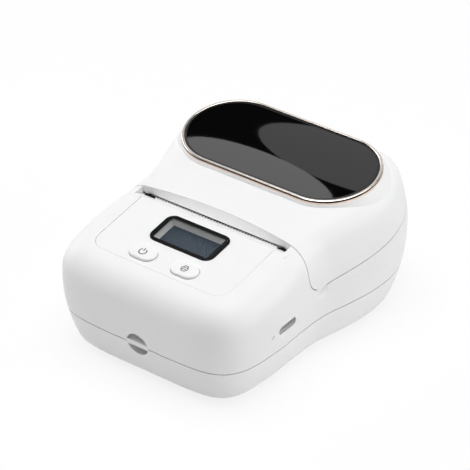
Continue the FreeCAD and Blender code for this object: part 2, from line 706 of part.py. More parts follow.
# Upper shell
barrel_room = rod("barrel_room", "x", d.barrel_radius + d.barrel_gap,
                  (-d.barrel_middle - d.barrel_gap, d.barrel_middle + d.barrel_gap), hinge_y, hinge_z)
upper_area = cut("upper_area", upper_zone, fuse("upper_openings", lid_space, barrel_room))
upper_blank = common("upper_blank", outer, upper_area)
upper_skin = cut("upper_skin", upper_blank, inner)
mouth_lip = box("mouth_lip", (-d.mouth_half_width - 1.5, d.mouth_half_width + 1.5),
                (mouth_y - d.lip_depth, mouth_y), (d.lip_bottom, top_z(mouth_y - d.lip_depth) - 0.5))
column_top = top_z(screw_places[0][1]) - 0.8
columns = [rod("screw_column_%d" % index, "z", d.column_radius, (floor_z, column_top), *screw_places[index])
           for index in range(2)]
body_barrels = [rod("body_barrel_%d" % index, "x", d.barrel_radius, span, hinge_y, hinge_z)
                for index, span in enumerate((
                    (-d.barrel_end, -d.barrel_middle - d.barrel_gap),
                    (d.barrel_middle + d.barrel_gap, d.barrel_end)))]
top_boss = common("lanyard_boss_high", lanyard_boss, upper_zone)
upper_solid = fuse("upper_solid", upper_skin, mouth_lip, top_boss, *columns, *body_barrels)

panel_back = (mouth_y - display_y) / lean + 6
panel_length = 2 * d.panel_half_width
panel_depth = d.panel_front + panel_back
panel_middle = (panel_back - d.panel_front) / 2
panel_pocket = rounded_plate("panel_pocket", 0.0, panel_middle, panel_length + 2 * d.panel_gap,
                             panel_depth + 2 * d.panel_gap, d.panel_corner + d.panel_gap,
                             -d.panel_thickness, 6.0)
seat_on_top(panel_pocket, display_y)
pocket_stop = box("pocket_stop", (-FAR, FAR), (-FAR, mouth_y), (0.0, FAR))
panel_room = common("panel_room", panel_pocket, pocket_stop)
view_length = d.bezel_length - 2 * d.bezel_border_x
view_width = d.bezel_width - 2 * d.bezel_border_y
shaft_length = view_length + 0.4
shaft_width = view_width + 0.4
display_shaft = rounded_plate("display_shaft", 0.0, 0.0, shaft_length, shaft_width, 0.6, -6.0, 6.0)
seat_on_top(display_shaft, display_y)


def at_buttons(label, grow, lo, hi):
    """The same stadium at both button places."""
    made = []
    for side, x in (("left", -d.button_x), ("right", d.button_x)):
        plate = stadium_plate("%s_%s" % (label, side), x, -d.button_forward,
                              d.button_length + 2 * size_of(grow), d.button_width + 2 * size_of(grow), lo, hi)
        seat_on_top(plate, display_y)
        made.append(plate)
    return made


button_shafts = at_buttons("button_shaft", d.button_gap + 0.05, -6.0, 6.0)
usb_y = front_y + d.usb_setback
board_top = d.board_bottom + d.board_thickness
usb_z = board_top + d.usb_height / 2
usb_face = d.front_half_width - d.usb_recess
usb_mouth = stadium_plate("usb_mouth", usb_y, usb_z, d.usb_length - 2 * d.usb_sheet + 2 * d.usb_gap,
                          d.usb_height - 2 * d.usb_sheet + 2 * d.usb_gap, usb_face - d.wall - 2,
                          d.front_half_width + 5, "YZ_Plane")
usb_seat = stadium_plate("usb_seat", usb_y, usb_z, d.usb_length + 2 * d.usb_room_gap,
                         d.usb_height + 2 * d.usb_room_gap, usb_face - d.wall - 2,
                         usb_face + d.usb_room_gap, "YZ_Plane")
usb_window = fuse("usb_window", usb_mouth, usb_seat)
lamp_y = front_y + d.lamp_setback
lamp_z = usb_z - 0.5
lamp_hole = rod("lamp_hole", "x", d.lamp_radius + 0.1,
                (d.front_half_width - d.wall - 2, d.front_half_width + 5), lamp_y, lamp_z)
scoops = []
for side, x in (("left", -d.front_half_width - d.scoop_offset), ("right", d.front_half_width + d.scoop_offset)):
    ball = doc.addObject("Part::Sphere", "scoop_%s" % side)
    tie(ball, "Radius", d.scoop_radius)
    tie(ball, "Placement.Base.x", x)
    tie(ball, "Placement.Base.y", mouth_y + 5)
    tie(ball, "Placement.Base.z", d.scoop_height)
    scoops.append(ball)
pin_bore = rod("pin_bore", "x", d.hinge_pin_radius + d.running_gap,
               (-d.barrel_end - 1, d.barrel_end + 1), hinge_y, hinge_z)
pilot_holes = [rod("pilot_hole_%d" % index, "z", d.screw_radius + 0.05,
                   (0.0, screw_tip + 0.3), *screw_places[index]) for index in range(2)]
tear_slot = box("tear_slot", (-d.mouth_half_width + 0.8, d.mouth_half_width - 0.8),
                (mouth_y - d.tear_depth, mouth_y + 1), (d.tear_top - d.tear_sheet, d.tear_top))
upper_tools = fuse("upper_tools", bevel, panel_room, display_shaft, *button_shafts, usb_window, lamp_hole,
                   lanyard_hole, *scoops, pin_bore, *pilot_holes, tear_slot)
upper_shell = cut("upper_shell", upper_solid, upper_tools)

# Lid with its oval plinth, lip and barrel
def oval_wire(radius, height):
    half = d.oval_straight.number / 2
    right, left = V(half, 0, height), V(-half, 0, height)
    return Part.Wire([
        Part.makeLine(V(-half, -radius, height), V(half, -radius, height)),
        Part.Arc(V(half, -radius, height), right + V(radius, 0, 0), V(half, radius, height)).toShape(),
        Part.makeLine(V(half, radius, height), V(-half, radius, height)),
        Part.Arc(V(-half, radius, height), left - V(radius, 0, 0), V(-half, -radius, height)).toShape(),
    ])


foot_flare = d.plinth_flare.number
plinth_edge = (d.oval_radius + d.plinth_margin).number
plinth_drop = d.plinth_drop.number + d.oval_seat.number
plinth_wires = [oval_wire(plinth_edge + foot_flare * grow, d.oval_seat.number - plinth_drop * fall)
                for grow, fall in ((0.0, 0.0), (0.12, 0.1), (0.34, 0.3), (0.68, 0.62), (1.0, 1.0))]
plinth = plain("plinth", Part.makeLoft(plinth_wires, True, False))
plinth.Placement = FreeCAD.Placement(
    V(0, oval_y.number, top_z(oval_y).number), FreeCAD.Rotation(V(1, 0, 0), d.top_slope.number))
mouth_round = (d.mouth_half_width * d.mouth_half_width + d.mouth_sag * d.mouth_sag) / (2 * d.mouth_sag)
mouth_centre = mouth_y + d.mouth_sag - mouth_round
mouth_lens = rod("mouth_lens", "z", mouth_round, (d.seam_height - 10, FAR + 1), 0.0, mouth_centre)
side_rooms = [rod("side_room_%d" % index, "x", d.barrel_radius + d.barrel_gap, span, hinge_y, hinge_z)
              for index, span in enumerate((
                  (-d.barrel_end - d.barrel_gap, -d.barrel_middle),
                  (d.barrel_middle, d.barrel_end + d.barrel_gap)))]
lid_area = cut("lid_area", lid_room, fuse("lid_openings", mouth_lens, *side_rooms))
lid_blank = common("lid_blank", outer, lid_area)
lid_skin = cut("lid_skin", lid_blank, inner)
plinth_cap = cut("plinth_cap", plinth, inner)
lip_round = rod("lip_round", "z", mouth_round + d.lid_lip_wall, (d.lid_lip_bottom, top_z(mouth_y) - 0.9),
                0.0, mouth_centre)
lip_ring = cut("lip_ring", lip_round, mouth_lens)
lip_block = box("lip_block", (0.6 - d.mouth_half_width, d.mouth_half_width - 0.6),
                (mouth_y + d.lid_gap, mouth_y + 12), (0.0, FAR))
lip_bow = common("lip_bow", lip_ring, lip_block)
tear_room = box("tear_room", (-FAR, FAR), (-FAR, mouth_y + d.tear_tooth + d.lip_clearance),
                (0.0, d.tear_top + d.lip_clearance))
lid_lip = cut("lid_lip", lip_bow, tear_room)
lid_barrel = rod("lid_barrel", "x", d.barrel_radius, (-d.barrel_middle, d.barrel_middle), hinge_y, hinge_z)
rib_from = platen_y + 7
rib_to = rear_y - d.tail_setback / 2
rib_cover = plain("rib_cover", outer.Shape.copy())
rib_cover.Placement.Base = V(0, 0, -d.wall.number / 2)
ribs = []
for side, x in (("left", -d.lid_rib_x), ("middle", size_of(0.0)), ("right", d.lid_rib_x)):
    blade = prism("lid_blade_%s" % side, (
        (rib_from, top_z(rib_from) - d.wall - d.lid_rib_depth),
        (rib_to, top_z(rib_to) - d.wall - d.lid_rib_depth),
        (rib_to, FAR),
        (rib_from, FAR),
    ), (x - d.lid_rib / 2, x + d.lid_rib / 2))
    ribs.append(common("lid_rib_%s" % side, blade, rib_cover))
lid_solid = fuse("lid_solid", lid_skin, plinth_cap, lid_lip, lid_barrel, *ribs)
bar_top_z = top_z(platen_y + 2.2)
fixing_places = [(x, platen_y + 2.2) for x in (-16.0, 16.0)]
fixing_holes = [rod("fixing_hole_%d" % index, "z", 0.8, (d.platen_height, bar_top_z - 0.8), *place)
                for index, place in enumerate(fixing_places)]
lid_shell = cut("lid_shell", lid_solid, fuse("lid_bores", pin_bore, *fixing_holes))

hinge_pin = rod("hinge_pin", "x", d.hinge_pin_radius, (-d.barrel_end, d.barrel_end), hinge_y, hinge_z)

# Oval plate and trim on the lid
oval_length = d.oval_straight + 2 * d.oval_radius
oval_width = 2 * d.oval_radius
trim_body = doc.addObject("PartDesign::Body", "lid_trim")
trim_sketch = new_sketch(trim_body, "lid_trim_outline", "XY_Plane")
stadium_outline(trim_sketch, 0.0, 0.0, oval_length, oval_width)
pad(trim_body, trim_sketch, d.oval_seat, d.oval_rise)
hole_sketch = new_sketch(trim_body, "lid_trim_hole", "XY_Plane")
stadium_outline(hole_sketch, 0.0, 0.0, oval_length - 2 * d.trim_width, oval_width - 2 * d.trim_width)
tie(hole_sketch, "AttachmentOffset.Base.z", d.oval_rise + 0.5)
trim_hole = trim_body.newObject("PartDesign::Pocket", "lid_trim_pocket")
trim_hole.Profile = hole_sketch
tie(trim_hole, "Length", d.oval_rise - d.oval_seat + 1)
doc.recompute()
trim_round = trim_body.newObject("PartDesign::Fillet", "lid_trim_round")
trim_round.Base = (trim_hole, ["Edge%d" % index for index, edge in enumerate(trim_hole.Shape.Edges, start=1)
                               if edge.BoundBox.ZMin > d.oval_rise.number - 0.01])
tie(trim_round, "Radius", d.trim_width * 0.36)
trim_body.Tip = trim_round
seat_on_top(trim_body, oval_y)
lid_trim = trim_body

plate_inset = d.trim_width + d.oval_gap
oval_blank = stadium_plate("oval_blank", 0.0, 0.0, oval_length - 2 * plate_inset,
                           oval_width - 2 * plate_inset, d.oval_seat, d.oval_rise + 2)
crown_half = d.oval_radius - plate_inset
crown_round = (crown_half * crown_half + d.oval_crown * d.oval_crown) / (2 * d.oval_crown)
crown = doc.addObject("Part::Cylinder", "oval_crown_round")
crown.Placement = FreeCAD.Placement(V(), FreeCAD.Rotation(V(0, 1, 0), 90))
tie(crown, "Radius", crown_round)
tie(crown, "Height", oval_length + 10)
tie(crown, "Placement.Base.x", -oval_length / 2 - 5)
tie(crown, "Placement.Base.z", d.oval_rise + 0.1 - crown_round)
lid_plate = common("lid_plate", oval_blank, crown)
seat_on_top(lid_plate, oval_y)

# Control panel, display and buttons
panel_blank = rounded_plate("panel_blank", 0.0, panel_middle, panel_length, panel_depth, d.panel_corner,
                            -d.panel_thickness, 0.0)
doc.recompute()
panel_pad = panel_blank.Tip
panel_round = panel_blank.newObject("PartDesign::Fillet", "panel_blank_round")
panel_round.Base = (panel_pad, ["Edge%d" % index for index, edge in enumerate(panel_pad.Shape.Edges, start=1)
                                if edge.BoundBox.ZMin > -0.01])
tie(panel_round, "Radius", d.panel_edge)
panel_blank.Tip = panel_round
seat_on_top(panel_blank, display_y)
panel_cut = common("panel_cut", panel_blank, pocket_stop)
bezel_hole = rounded_plate("bezel_hole", 0.0, 0.0, d.bezel_length + 0.2, d.bezel_width + 0.2,
                           d.bezel_corner + 0.1, -6.0, 6.0)
seat_on_top(bezel_hole, display_y)
key_holes = at_buttons("key_hole", d.button_gap, -6.0, 6.0)
control_panel = cut("control_panel", panel_cut, fuse("panel_tools", bevel, bezel_hole, *key_holes))

bezel_body = rounded_plate("display_bezel", 0.0, 0.0, d.bezel_length, d.bezel_width, d.bezel_corner,
                           -d.bezel_seat, d.bezel_rise)
view_sketch = new_sketch(bezel_body, "display_bezel_view", "XY_Plane")
rounded_outline(view_sketch, 0.0, 0.0, view_length, view_width, 1.2)
tie(view_sketch, "AttachmentOffset.Base.z", d.bezel_rise + 0.5)
view_pocket = bezel_body.newObject("PartDesign::Pocket", "display_bezel_pocket")
view_pocket.Profile = view_sketch
tie(view_pocket, "Length", d.bezel_seat + d.bezel_rise + 1)
doc.recompute()
bezel_round = bezel_body.newObject("PartDesign::Fillet", "display_bezel_round")
bezel_round.Base = (view_pocket, ["Edge%d" % index for index, edge in enumerate(view_pocket.Shape.Edges, start=1)
                                  if edge.BoundBox.ZMin > d.bezel_rise.number - 0.01])
tie(bezel_round, "Radius", d.bezel_edge)
bezel_body.Tip = bezel_round
seat_on_top(bezel_body, display_y)
display_bezel = bezel_body

display_window = rounded_plate("display_window", 0.0, 0.0, view_length - 0.1, view_width - 0.1, 1.15,
                               -d.bezel_seat, d.window_thickness - d.bezel_seat)
seat_on_top(display_window, display_y)

frame_top_h = -d.bezel_seat
frame_low_h = -d.panel_thickness - d.light_frame_depth
frame_body = rounded_plate("display_frame", 0.0, 0.0, shaft_length - 0.2, shaft_width - 0.2, 0.5,
                           frame_low_h, frame_top_h)
flange_sketch = new_sketch(frame_body, "display_frame_flange", "XY_Plane")
rounded_outline(flange_sketch, 0.0, 0.0, d.bezel_length, d.bezel_width, d.bezel_corner)
pad(frame_body, flange_sketch, -d.panel_thickness, frame_top_h)
funnel_sketch = new_sketch(frame_body, "display_frame_funnel", "XY_Plane")
rounded_outline(funnel_sketch, 0.0, 0.0, view_length - 2 * d.window_ledge, view_width - 2 * d.window_ledge, 0.8)
tie(funnel_sketch, "AttachmentOffset.Base.z", frame_top_h)
funnel = frame_body.newObject("PartDesign::Pocket", "display_frame_pocket")
funnel.Profile = funnel_sketch
funnel.Type = "Length"
tie(funnel, "Length", frame_top_h - frame_low_h + 0.001)
tie(funnel, "TaperAngle", -d.light_frame_taper)
seat_on_top(frame_body, display_y)
display_frame = frame_body

glass_low_h = frame_low_h - d.glass_thickness
display_glass = rounded_plate("display_glass", 0.0, 0.0, shaft_length - 0.2, shaft_width - 0.2, 0.5,
                              glass_low_h, frame_low_h)
seat_on_top(display_glass, display_y)

panel_board = rounded_plate("panel_board", 0.0, -6.0, 2 * d.panel_board_half_width, 21.0, 1.5,
                            glass_low_h - d.panel_board_thickness, glass_low_h)
seat_on_top(panel_board, display_y)

ledge_low_h = -d.wall
flange_top_h = ledge_low_h - 0.2
flange_low_h = flange_top_h - 0.6
switch_top_h = glass_low_h + d.switch_height
stem_low_h = switch_top_h - 0.4


def make_button(label, x):
    """A key with a rounded cap, a keeping flange under the ledge and a stem into its switch."""
    body = stadium_plate(label, x, -d.button_forward, d.button_length, d.button_width,
                         flange_low_h, d.button_rise)
    flange_sketch = new_sketch(body, label + "_flange", "XY_Plane")
    stadium_outline(flange_sketch, x, -d.button_forward, d.button_length + 2 * d.button_flange,
                    d.button_width + 2 * d.button_flange)
    tie(flange_sketch, "AttachmentOffset.Base.z", flange_low_h)
    flange = body.newObject("PartDesign::Pad", label + "_flange_pad")
    flange.Profile = flange_sketch
    tie(flange, "Length", flange_top_h - flange_low_h)
    stem_sketch = new_sketch(body, label + "_stem", "XY_Plane")
    stem_sketch.addGeometry(Part.Circle(V(x.number, -d.button_forward.number, 0), V(0, 0, 1),
                                        d.stem_radius.number), False)
    hold(stem_sketch, "Radius", 0, d.stem_radius)
    hold(stem_sketch, "DistanceX", -1, 1, 0, 3, x)
    hold(stem_sketch, "DistanceY", -1, 1, 0, 3, -d.button_forward)
    tie(stem_sketch, "AttachmentOffset.Base.z", stem_low_h)
    stem = body.newObject("PartDesign::Pad", label + "_stem_pad")
    stem.Profile = stem_sketch
    tie(stem, "Length", flange_low_h - stem_low_h + 0.1)
    doc.recompute()
    names = ["Edge%d" % index for index, edge in enumerate(stem.Shape.Edges, start=1)
             if edge.BoundBox.ZMin > d.button_rise.number - 0.01]
    crown_edge = body.newObject("PartDesign::Fillet", label + "_round")
    crown_edge.Base = (stem, names)
    tie(crown_edge, "Radius", d.button_rise * 0.6)
    body.Tip = crown_edge
    seat_on_top(body, display_y)
    return body


power_button = make_button("power_button", -d.button_x)
print_button = make_button("print_button", d.button_x)

switch_items = []
for side, x in (("left", -d.button_x), ("right", d.button_x)):
    block = rounded_plate("switch_block_%s" % side, x, -d.button_forward, d.switch_size, d.switch_size, 0.5,
                          glass_low_h, switch_top_h)
    well = stadium_plate("switch_well_%s" % side, x, -d.button_forward, 2 * d.stem_radius + 0.5,
                         2 * d.stem_radius + 0.4, stem_low_h - d.button_travel - 0.1, switch_top_h + 1)
    switch_items.append(cut("switch_%s" % side, block, well))
tact_switches = fuse("tact_switches", *switch_items)
seat_on_top(tact_switches, display_y)

# Main board, battery, socket and charge light
board_middle = front_y + d.board_front + d.board_length / 2
board_blank = rounded_plate("board_blank", 0.0, board_middle, 2 * d.board_half_width, d.board_length,
                            d.board_corner, d.board_bottom, board_top)
column_holes = [rod("column_hole_%d" % index, "z", d.column_radius + 0.25, (0.0, FAR), *screw_places[index])
                for index in range(2)]
main_board = cut("main_board", board_blank, fuse("column_holes", *column_holes))

battery_pack = rounded_plate("battery_pack", 0.0, front_y + d.battery_front + d.battery_length / 2,
                             2 * d.battery_half_width, d.battery_length, d.battery_corner,
                             floor_z, floor_z + d.battery_height)

usb_body = stadium_plate("usb_shell", usb_y, usb_z, d.usb_length, d.usb_height,
                         usb_face - d.usb_depth, usb_face, "YZ_Plane")
usb_room = stadium_plate("usb_room", usb_y, usb_z, d.usb_length - 2 * d.usb_sheet,
                         d.usb_height - 2 * d.usb_sheet, usb_face - d.usb_depth + 0.8, usb_face + 1, "YZ_Plane")
usb_tongue = box("usb_tongue", (usb_face - d.usb_depth + 0.5, usb_face - 1.0),
                 (usb_y - 3.3, usb_y + 3.3), (usb_z - 0.35, usb_z + 0.35))
usb_socket = fuse("usb_socket", cut("usb_hollow", usb_body, usb_room), usb_tongue)

lamp_base = box("lamp_base", (d.board_half_width - 2.5, d.board_half_width - 0.3), (lamp_y - 1, lamp_y + 1),
                (board_top, lamp_z + 0.9))
lamp_pipe = rod("lamp_pipe", "x", d.lamp_radius, (d.board_half_width - 1, d.front_half_width - 0.5),
                lamp_y, lamp_z)
charge_light = fuse("charge_light", lamp_base, lamp_pipe)

# Mechanism frame
frame_y = (mouth_y - d.frame_front, mouth_y + d.frame_back)
frame_outer = d.frame_inner + d.frame_sheet
frame_wall = box("frame_wall", (-frame_outer, frame_outer), (frame_y[0], frame_y[0] + d.frame_sheet),
                 (d.sink_bottom, d.sink_top + 0.4))
frame_sides = [box("frame_side_%d" % index, span, frame_y, (d.frame_bottom, d.frame_top))
               for index, span in enumerate(((-frame_outer, -d.frame_inner), (d.frame_inner, frame_outer)))]
frame_feet = [box("frame_foot_%d" % index, span, (frame_y[0] + 1.0, frame_y[0] + 4.0),
                  (d.frame_bottom, d.frame_bottom + d.frame_sheet))
              for index, span in enumerate(((-d.frame_inner - 0.2, 6.0 - d.frame_inner),
                                            (d.frame_inner - 6.0, d.frame_inner + 0.2)))]
frame_solid = fuse("frame_solid", frame_wall, *frame_sides, *frame_feet)
slot_half = d.bush_radius + d.bush_slot_gap
bush_slot = box("bush_slot", (-FAR, FAR), (platen_y - slot_half, platen_y + slot_half), (d.platen_height, FAR))
bush_round = rod("bush_round", "x", slot_half, (-FAR, FAR), platen_y, d.platen_height)

platen_pitch = d.gear_module * (PLATEN_TEETH / 2.0)
idler_pitch = d.gear_module * (IDLER_TEETH / 2.0)
pinion_pitch = d.gear_module * (PINION_TEETH / 2.0)
idler_y = platen_y
idler_z = d.platen_height - platen_pitch - idler_pitch
motor_y = idler_y - wave_of("sin", d.pinion_swing) * (idler_pitch + pinion_pitch)
motor_z = idler_z - wave_of("cos", d.pinion_swing) * (idler_pitch + pinion_pitch)
sink_face = platen_y - d.platen_radius - d.head_gap - d.ceramic_thickness
head_pin_y = sink_face - d.sink_thickness / 2
shaft_pass = rod("shaft_pass", "x", d.motor_shaft_radius + 0.6, (-FAR, 0.0), motor_y, motor_z)
idler_seat = rod("idler_seat", "x", d.idler_pin_radius, (-FAR, 0.0), idler_y, idler_z)
head_seat = rod("head_seat", "x", d.head_pin_radius, (-FAR, FAR), head_pin_y, d.head_pin_height)
mech_frame = cut("mech_frame", frame_solid,
                 fuse("frame_tools", bush_slot, bush_round, shaft_pass, idler_seat, head_seat))

gear_outer = frame_outer + d.gear_clearance + d.gear_width
gear_inner = frame_outer + d.gear_clearance
idler_pin = rod("idler_pin", "x", d.idler_pin_radius, (-gear_outer - 0.2, -d.frame_inner), idler_y, idler_z)


def gear_shape(teeth, module, backlash, low, high, spot, turn, bore, addendum=1.0):
    """A spur gear along X with involute flanks, one tooth centred at the turn angle."""
    pitch = module * teeth / 2
    base = pitch * math.cos(math.radians(20))
    tip = pitch + addendum * module
    root = pitch - 1.25 * module

    def half_angle(radius):
        radius = max(radius, base)
        press = math.acos(base / radius)
        start = math.tan(math.radians(20)) - math.radians(20)
        return math.pi / (2 * teeth) - backlash / (2 * pitch) + start - (math.tan(press) - press)

    rings = (root, max(base, root + 0.02), pitch, tip)
    points = []
    for index in range(teeth):
        middle = turn + 2 * math.pi * index / teeth
        flank = [(radius, half_angle(radius)) for radius in rings]
        for radius, half in flank:
            points.append((radius, middle - half))
        for radius, half in reversed(flank):
            points.append((radius, middle + half))
    wire = Part.makePolygon([V(low, spot[0] + r * math.cos(a), spot[1] + r * math.sin(a))
                             for r, a in points + points[:1]])
    solid = Part.Face(wire).extrude(V(high - low, 0, 0))
    hole = Part.makeCylinder(bore, high - low + 2, V(low - 1, spot[0], spot[1]), V(1, 0, 0))
    return solid.cut(hole)


module = d.gear_module.number
down = -math.pi / 2
low_x, high_x = -gear_outer.number, -gear_inner.number
platen_gear = plain("platen_gear", gear_shape(
    PLATEN_TEETH, module, d.backlash.number, low_x, high_x,
    (platen_y.number, d.platen_height.number), down, d.shaft_radius.number))
idler_turn = math.pi / 2 + math.pi / IDLER_TEETH
idler_gear = plain("idler_gear", gear_shape(
    IDLER_TEETH, module, d.backlash.number, low_x, high_x, (idler_y.number, idler_z.number), idler_turn,
    (d.idler_pin_radius + d.running_gap).number))
line = math.radians(270 - d.pinion_swing.number)
step = 2 * math.pi / IDLER_TEETH
offset = (idler_turn - line) % step
pinion_turn = line + math.pi - offset * IDLER_TEETH / PINION_TEETH + math.pi / PINION_TEETH
pinion_teeth = gear_shape(
    PINION_TEETH, module, d.backlash.number, low_x, high_x, (motor_y.number, motor_z.number), pinion_turn,
    d.motor_shaft_radius.number * 0.5)
pinion_shaft = Part.makeCylinder(
    d.motor_shaft_radius.number, gear_outer.number - d.frame_inner.number - 0.1,
    V(-gear_outer.number, motor_y.number, motor_z.number), V(1, 0, 0))
motor_pinion = plain("motor_pinion", pinion_teeth.fuse(pinion_shaft).removeSplitter())

motor_can = rod("motor_can", "x", d.motor_radius, (-d.frame_inner, d.motor_length - d.frame_inner),
                motor_y, motor_z)
motor_cap = rod("motor_cap", "x", d.motor_radius * 0.7,
                (d.motor_length - d.frame_inner - 0.2, d.motor_length - d.frame_inner + 0.8), motor_y, motor_z)
motor = fuse("motor", motor_can, motor_cap)

# Print head
sink_blank = box("sink_blank", (-d.head_half_length, d.head_half_length),
                 (sink_face - d.sink_thickness, sink_face), (d.sink_bottom, d.sink_top))
sink_bore = rod("sink_bore", "x", d.head_pin_radius + d.running_gap, (-FAR, FAR), head_pin_y, d.head_pin_height)
head_sink = cut("head_sink", sink_blank, sink_bore)
head_ceramic = box("head_ceramic", (0.5 - d.head_half_length, d.head_half_length - 0.5),
                   (sink_face, sink_face + d.ceramic_thickness), (d.sink_bottom + 4.4, d.sink_top - 0.4))
head_pin = rod("head_pin", "x", d.head_pin_radius, (-frame_outer, frame_outer), head_pin_y, d.head_pin_height)
spring_back = frame_y[0] + d.frame_sheet
spring_nose = sink_face - d.sink_thickness
springs = []
for side, x in (("left", -d.spring_x), ("right", d.spring_x)):
    springs.append(prism("leaf_%s" % side, (
        (spring_back, d.spring_height - 3.4),
        (spring_back + d.spring_sheet, d.spring_height - 3.4),
        (spring_nose, d.spring_height),
        (spring_back + d.spring_sheet, d.spring_height + 3.0),
        (spring_back, d.spring_height + 3.0),
        (spring_nose - d.spring_sheet * 1.5, d.spring_height),
    ), (x - d.spring_width / 2, x + d.spring_width / 2)))
head_springs = fuse("head_springs", *springs)

# Platen on the lid
bracket_outer = d.bracket_inner + d.bracket_thickness
brackets = [box("bracket_%d" % index, span, (platen_y - 3.4, platen_y + 3.6), (d.platen_height - 2.9, FAR / 2))
            for index, span in enumerate(((-bracket_outer, -d.bracket_inner), (d.bracket_inner, bracket_outer)))]
carrier_bar = box("carrier_bar", (-bracket_outer, bracket_outer), (platen_y + 0.8, platen_y + 3.6),
                  (d.platen_height + d.platen_radius + 0.9, FAR / 2))
carrier_room = plain("carrier_room", inner.Shape.copy())
carrier_room.Placement.Base = V(0, 0, -0.05)
carrier_blank = common("carrier_blank", fuse("carrier_mass", *brackets, carrier_bar), carrier_room)
bush_holes = rod("bush_holes", "x", d.bush_radius, (-FAR, FAR), platen_y, d.platen_height)
platen_carrier = cut("platen_carrier", carrier_blank, fuse("carrier_tools", bush_holes, *fixing_holes))
bush_rods = [rod("bush_rod_%d" % index, "x", d.bush_radius, span, platen_y, d.platen_height)
             for index, span in enumerate(((-frame_outer - 0.1, 0.2 - d.bracket_inner),
                                           (d.bracket_inner - 0.2, frame_outer + 0.1)))]
bush_bore = rod("bush_bore", "x", d.shaft_radius + d.running_gap, (-FAR, FAR), platen_y, d.platen_height)
platen_bushes = cut("platen_bushes", fuse("bush_blanks", *bush_rods), bush_bore)
platen_shaft = rod("platen_shaft", "x", d.shaft_radius, (-gear_outer - 0.2, frame_outer + 0.5),
                   platen_y, d.platen_height)
rubber_blank = rod("rubber_blank", "x", d.platen_radius, (-d.platen_half_length, d.platen_half_length),
                   platen_y, d.platen_height)
rubber_bore = rod("rubber_bore", "x", d.shaft_radius, (-FAR, FAR), platen_y, d.platen_height)
platen_rubber = cut("platen_rubber", rubber_blank, rubber_bore)
fixing_top = d.platen_height + d.platen_radius + 0.9
fixings = []
for index, place in enumerate(fixing_places):
    fixing_head = rod("fixing_head_%d" % index, "z", 1.4, (fixing_top - 0.7, fixing_top), *place)
    fixing_shank = rod("fixing_shank_%d" % index, "z", 0.75, (fixing_top - 0.2, bar_top_z - 1.0), *place)
    fixings.append(fuse("fixing_%d" % index, fixing_head, fixing_shank))
carrier_screws = fuse("carrier_screws", *fixings)

# Tear bar
half_bar = d.mouth_half_width.number - 1.0
tooth_from = -TEAR_TEETH * d.tear_pitch.number / 2
low_z = (d.tear_top - d.tear_sheet).number
edge_y = mouth_y.number
bar_points = [(-half_bar, edge_y - d.tear_depth.number), (-half_bar, edge_y)]
for index in range(TEAR_TEETH):
    start = tooth_from + index * d.tear_pitch.number
    bar_points.append((start + 0.08, edge_y))
    bar_points.append((start + d.tear_pitch.number / 2, edge_y + d.tear_tooth.number))
    bar_points.append((start + d.tear_pitch.number - 0.08, edge_y))
bar_points.append((half_bar, edge_y))
bar_points.append((half_bar, edge_y - d.tear_depth.number))
bar_points = [point for point in bar_points if abs(point[0]) <= half_bar + 0.001]
bar_wire = Part.makePolygon([V(x, y, low_z) for x, y in bar_points + bar_points[:1]])
tear_bar = plain("tear_bar", Part.Face(bar_wire).extrude(V(0, 0, d.tear_sheet.number)))

# Roll tub
tub_y = (bay_y - d.bay_radius - d.tub_wall, bay_y + d.bay_radius + d.tub_wall)
tub_block = box("tub_block", (-d.bay_half_width - d.tub_wall, d.bay_half_width + d.tub_wall), tub_y,
                (floor_z, d.tub_rim))
tub_shape = common("tub_shape", tub_block, tub_core)
tub_round = rod("tub_round", "x", d.bay_radius, (-d.bay_half_width, d.bay_half_width), bay_y, d.bay_height)
tub_open = box("tub_open", (-d.bay_half_width, d.bay_half_width),
               (bay_y - d.bay_radius, bay_y + d.bay_radius), (d.bay_height, FAR))
tub_floor = d.bay_height - d.bay_radius
rack_pitch_y = d.rack_module * (GUIDE_TEETH / 2.0)
rack_reach = rack_pitch_y + 1.25 * d.rack_module + d.rack_back
guide_pinion_y = bay_y - d.bay_radius + d.rack_gap + rack_reach
rack_trough = box("rack_trough", (-d.bay_half_width, d.bay_half_width),
                  (bay_y - d.bay_radius, guide_pinion_y + rack_reach + d.rack_gap),
                  (tub_floor, d.bay_height))
tub_pilots = [rod("tub_pilot_%d" % index, "z", d.screw_radius + 0.05, (0.0, screw_tip + 0.3),
                  *screw_places[index]) for index in (2, 3)]
tub_hollow = cut("tub_hollow", tub_shape, fuse("tub_tools", tub_round, tub_open, rack_trough, *tub_pilots))
rack_low = tub_floor + d.rack_lift
rack_high = rack_low + d.rack_height
pinion_post = rod("pinion_post", "z", d.pinion_post_radius, (tub_floor - 0.3, rack_high + 0.2),
                  0.0, guide_pinion_y)
roll_tub = fuse("roll_tub", tub_hollow, pinion_post)
guide_keeper = box("guide_keeper", (-4.5, 4.5), (bay_y - d.bay_radius, guide_pinion_y + rack_reach),
                   (rack_high + 0.3, rack_high + 0.3 + d.keeper_thickness))


